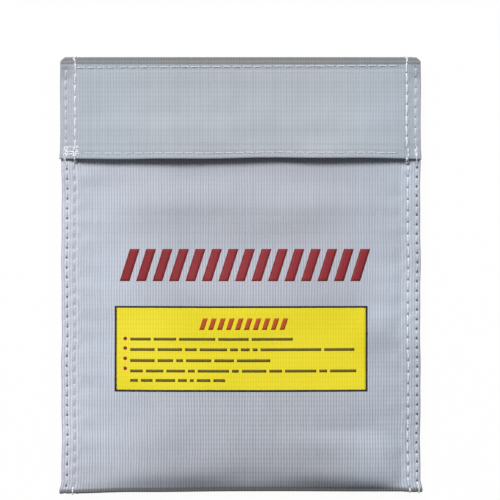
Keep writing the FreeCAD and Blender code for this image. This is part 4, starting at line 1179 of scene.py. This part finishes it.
lining("front_lining_cloth", S_POUCH_IN, 81.6, 8.9, V_NOSE0 - 2.6, 130, ["front_lining"], "pouch")
lining("back_lining_cloth", S_POUCH_IN, 81.6, V_NOSE1 + 2.4, V_MID - 0.15, 150, ["back_lining", "top_fold_lining"], blend=lower_blend, seed=9)
lining("flap_lining_cloth", S_FLAP_IN, 82.0, 0.15, F_FLAT + C2[0] - HEM_Y1 - 0.5, 50, ["flap_lining"], blend=upper_blend, gap=0.02, thick=0.18, seed=12)

# ------------------------------------------------------------------ stage, lights, camera
scene = bpy.context.scene
g = Nodes("pale_floor")
g.b.inputs["Base Color"].default_value = (0.86, 0.86, 0.86, 1)
g.b.inputs["Roughness"].default_value = 0.9
g.b.inputs["Specular IOR Level"].default_value = 0.1
n = g.noise(g.object(), 6.0, 3.0)
g.put(g.b.inputs["Base Color"], g.scale(g.rgb((0.86, 0.86, 0.865)), g.f("ADD", 0.985, g.f("MULTIPLY", n, 0.03))))
em = g.nt.nodes.new("ShaderNodeEmission")
em.inputs["Color"].default_value = (1, 1, 1, 1)
em.inputs["Strength"].default_value = 1.0
grey = g.nt.nodes.new("ShaderNodeBsdfDiffuse")
grey.inputs["Color"].default_value = (0.30, 0.30, 0.31, 1)
lp = g.nt.nodes.new("ShaderNodeLightPath")
mx = g.nt.nodes.new("ShaderNodeMixShader")
mx.inputs[0].default_value = 0.965
g.nt.links.new(g.b.outputs[0], mx.inputs[1])
g.nt.links.new(em.outputs[0], mx.inputs[2])
mx2 = g.nt.nodes.new("ShaderNodeMixShader")
g.nt.links.new(lp.outputs["Is Camera Ray"], mx2.inputs[0])
g.nt.links.new(grey.outputs[0], mx2.inputs[1])
g.nt.links.new(mx.outputs[0], mx2.inputs[2])
g.nt.links.new(mx2.outputs[0], g.out.inputs[0])
fm = bpy.data.meshes.new("floor")
fm.from_pydata([(-4, -4, -0.0004), (4, -4, -0.0004), (4, 4, -0.0004), (-4, 4, -0.0004)], [], [(0, 1, 2, 3)])
floor = bpy.data.objects.new("floor", fm)
fm.materials.append(g.m)
scene.collection.objects.link(floor)
floor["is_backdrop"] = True

world = bpy.data.worlds.new("studio")
world.use_nodes = True
world.node_tree.nodes["Background"].inputs[0].default_value = (0.80, 0.88, 1.0, 1)
world.node_tree.nodes["Background"].inputs[1].default_value = 0.047
scene.world = world
scene.view_settings.view_transform = "Standard"
scene.view_settings.look = "None"


def area(name, loc, size, power, colour=(1, 1, 1)):
    d = bpy.data.lights.new(name, "AREA")
    d.shape, d.size, d.size_y, d.energy, d.color = "RECTANGLE", size[0], size[1], power, colour
    o = bpy.data.objects.new(name, d)
    o.location = loc
    o.rotation_mode = "QUATERNION"
    o.rotation_quaternion = (Vector((0, 0, 0.005)) - Vector(loc)).to_track_quat("-Z", "Y")
    scene.collection.objects.link(o)
    return o


area("key", (-1.60, 2.85, 3.85), (2.0, 1.6), 248.0, (1.0, 1.0, 1.0))
area("fill", (2.3, 1.9, 3.0), (1.6, 1.4), 50.0, (0.95, 0.97, 1.0))
area("left", (-0.46, 0.02, 0.44), (0.22, 0.30), 0.27, (1.0, 1.0, 1.0))
area("right", (0.46, 0.02, 0.44), (0.22, 0.30), 0.18, (1.0, 1.0, 1.0))

cam_d = bpy.data.cameras.new("camera")
cam_d.sensor_width, cam_d.lens = 36.0, 150.0
cam = bpy.data.objects.new("camera", cam_d)
FIELD = 0.25625                                   # width of the view at the height of the side seams
cam.location = (0.00487, 0.01256, 0.0065 + FIELD * cam_d.lens / cam_d.sensor_width)
cam.rotation_euler = (0, 0, 0)
scene.collection.objects.link(cam)
scene.camera = cam

lo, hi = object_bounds()
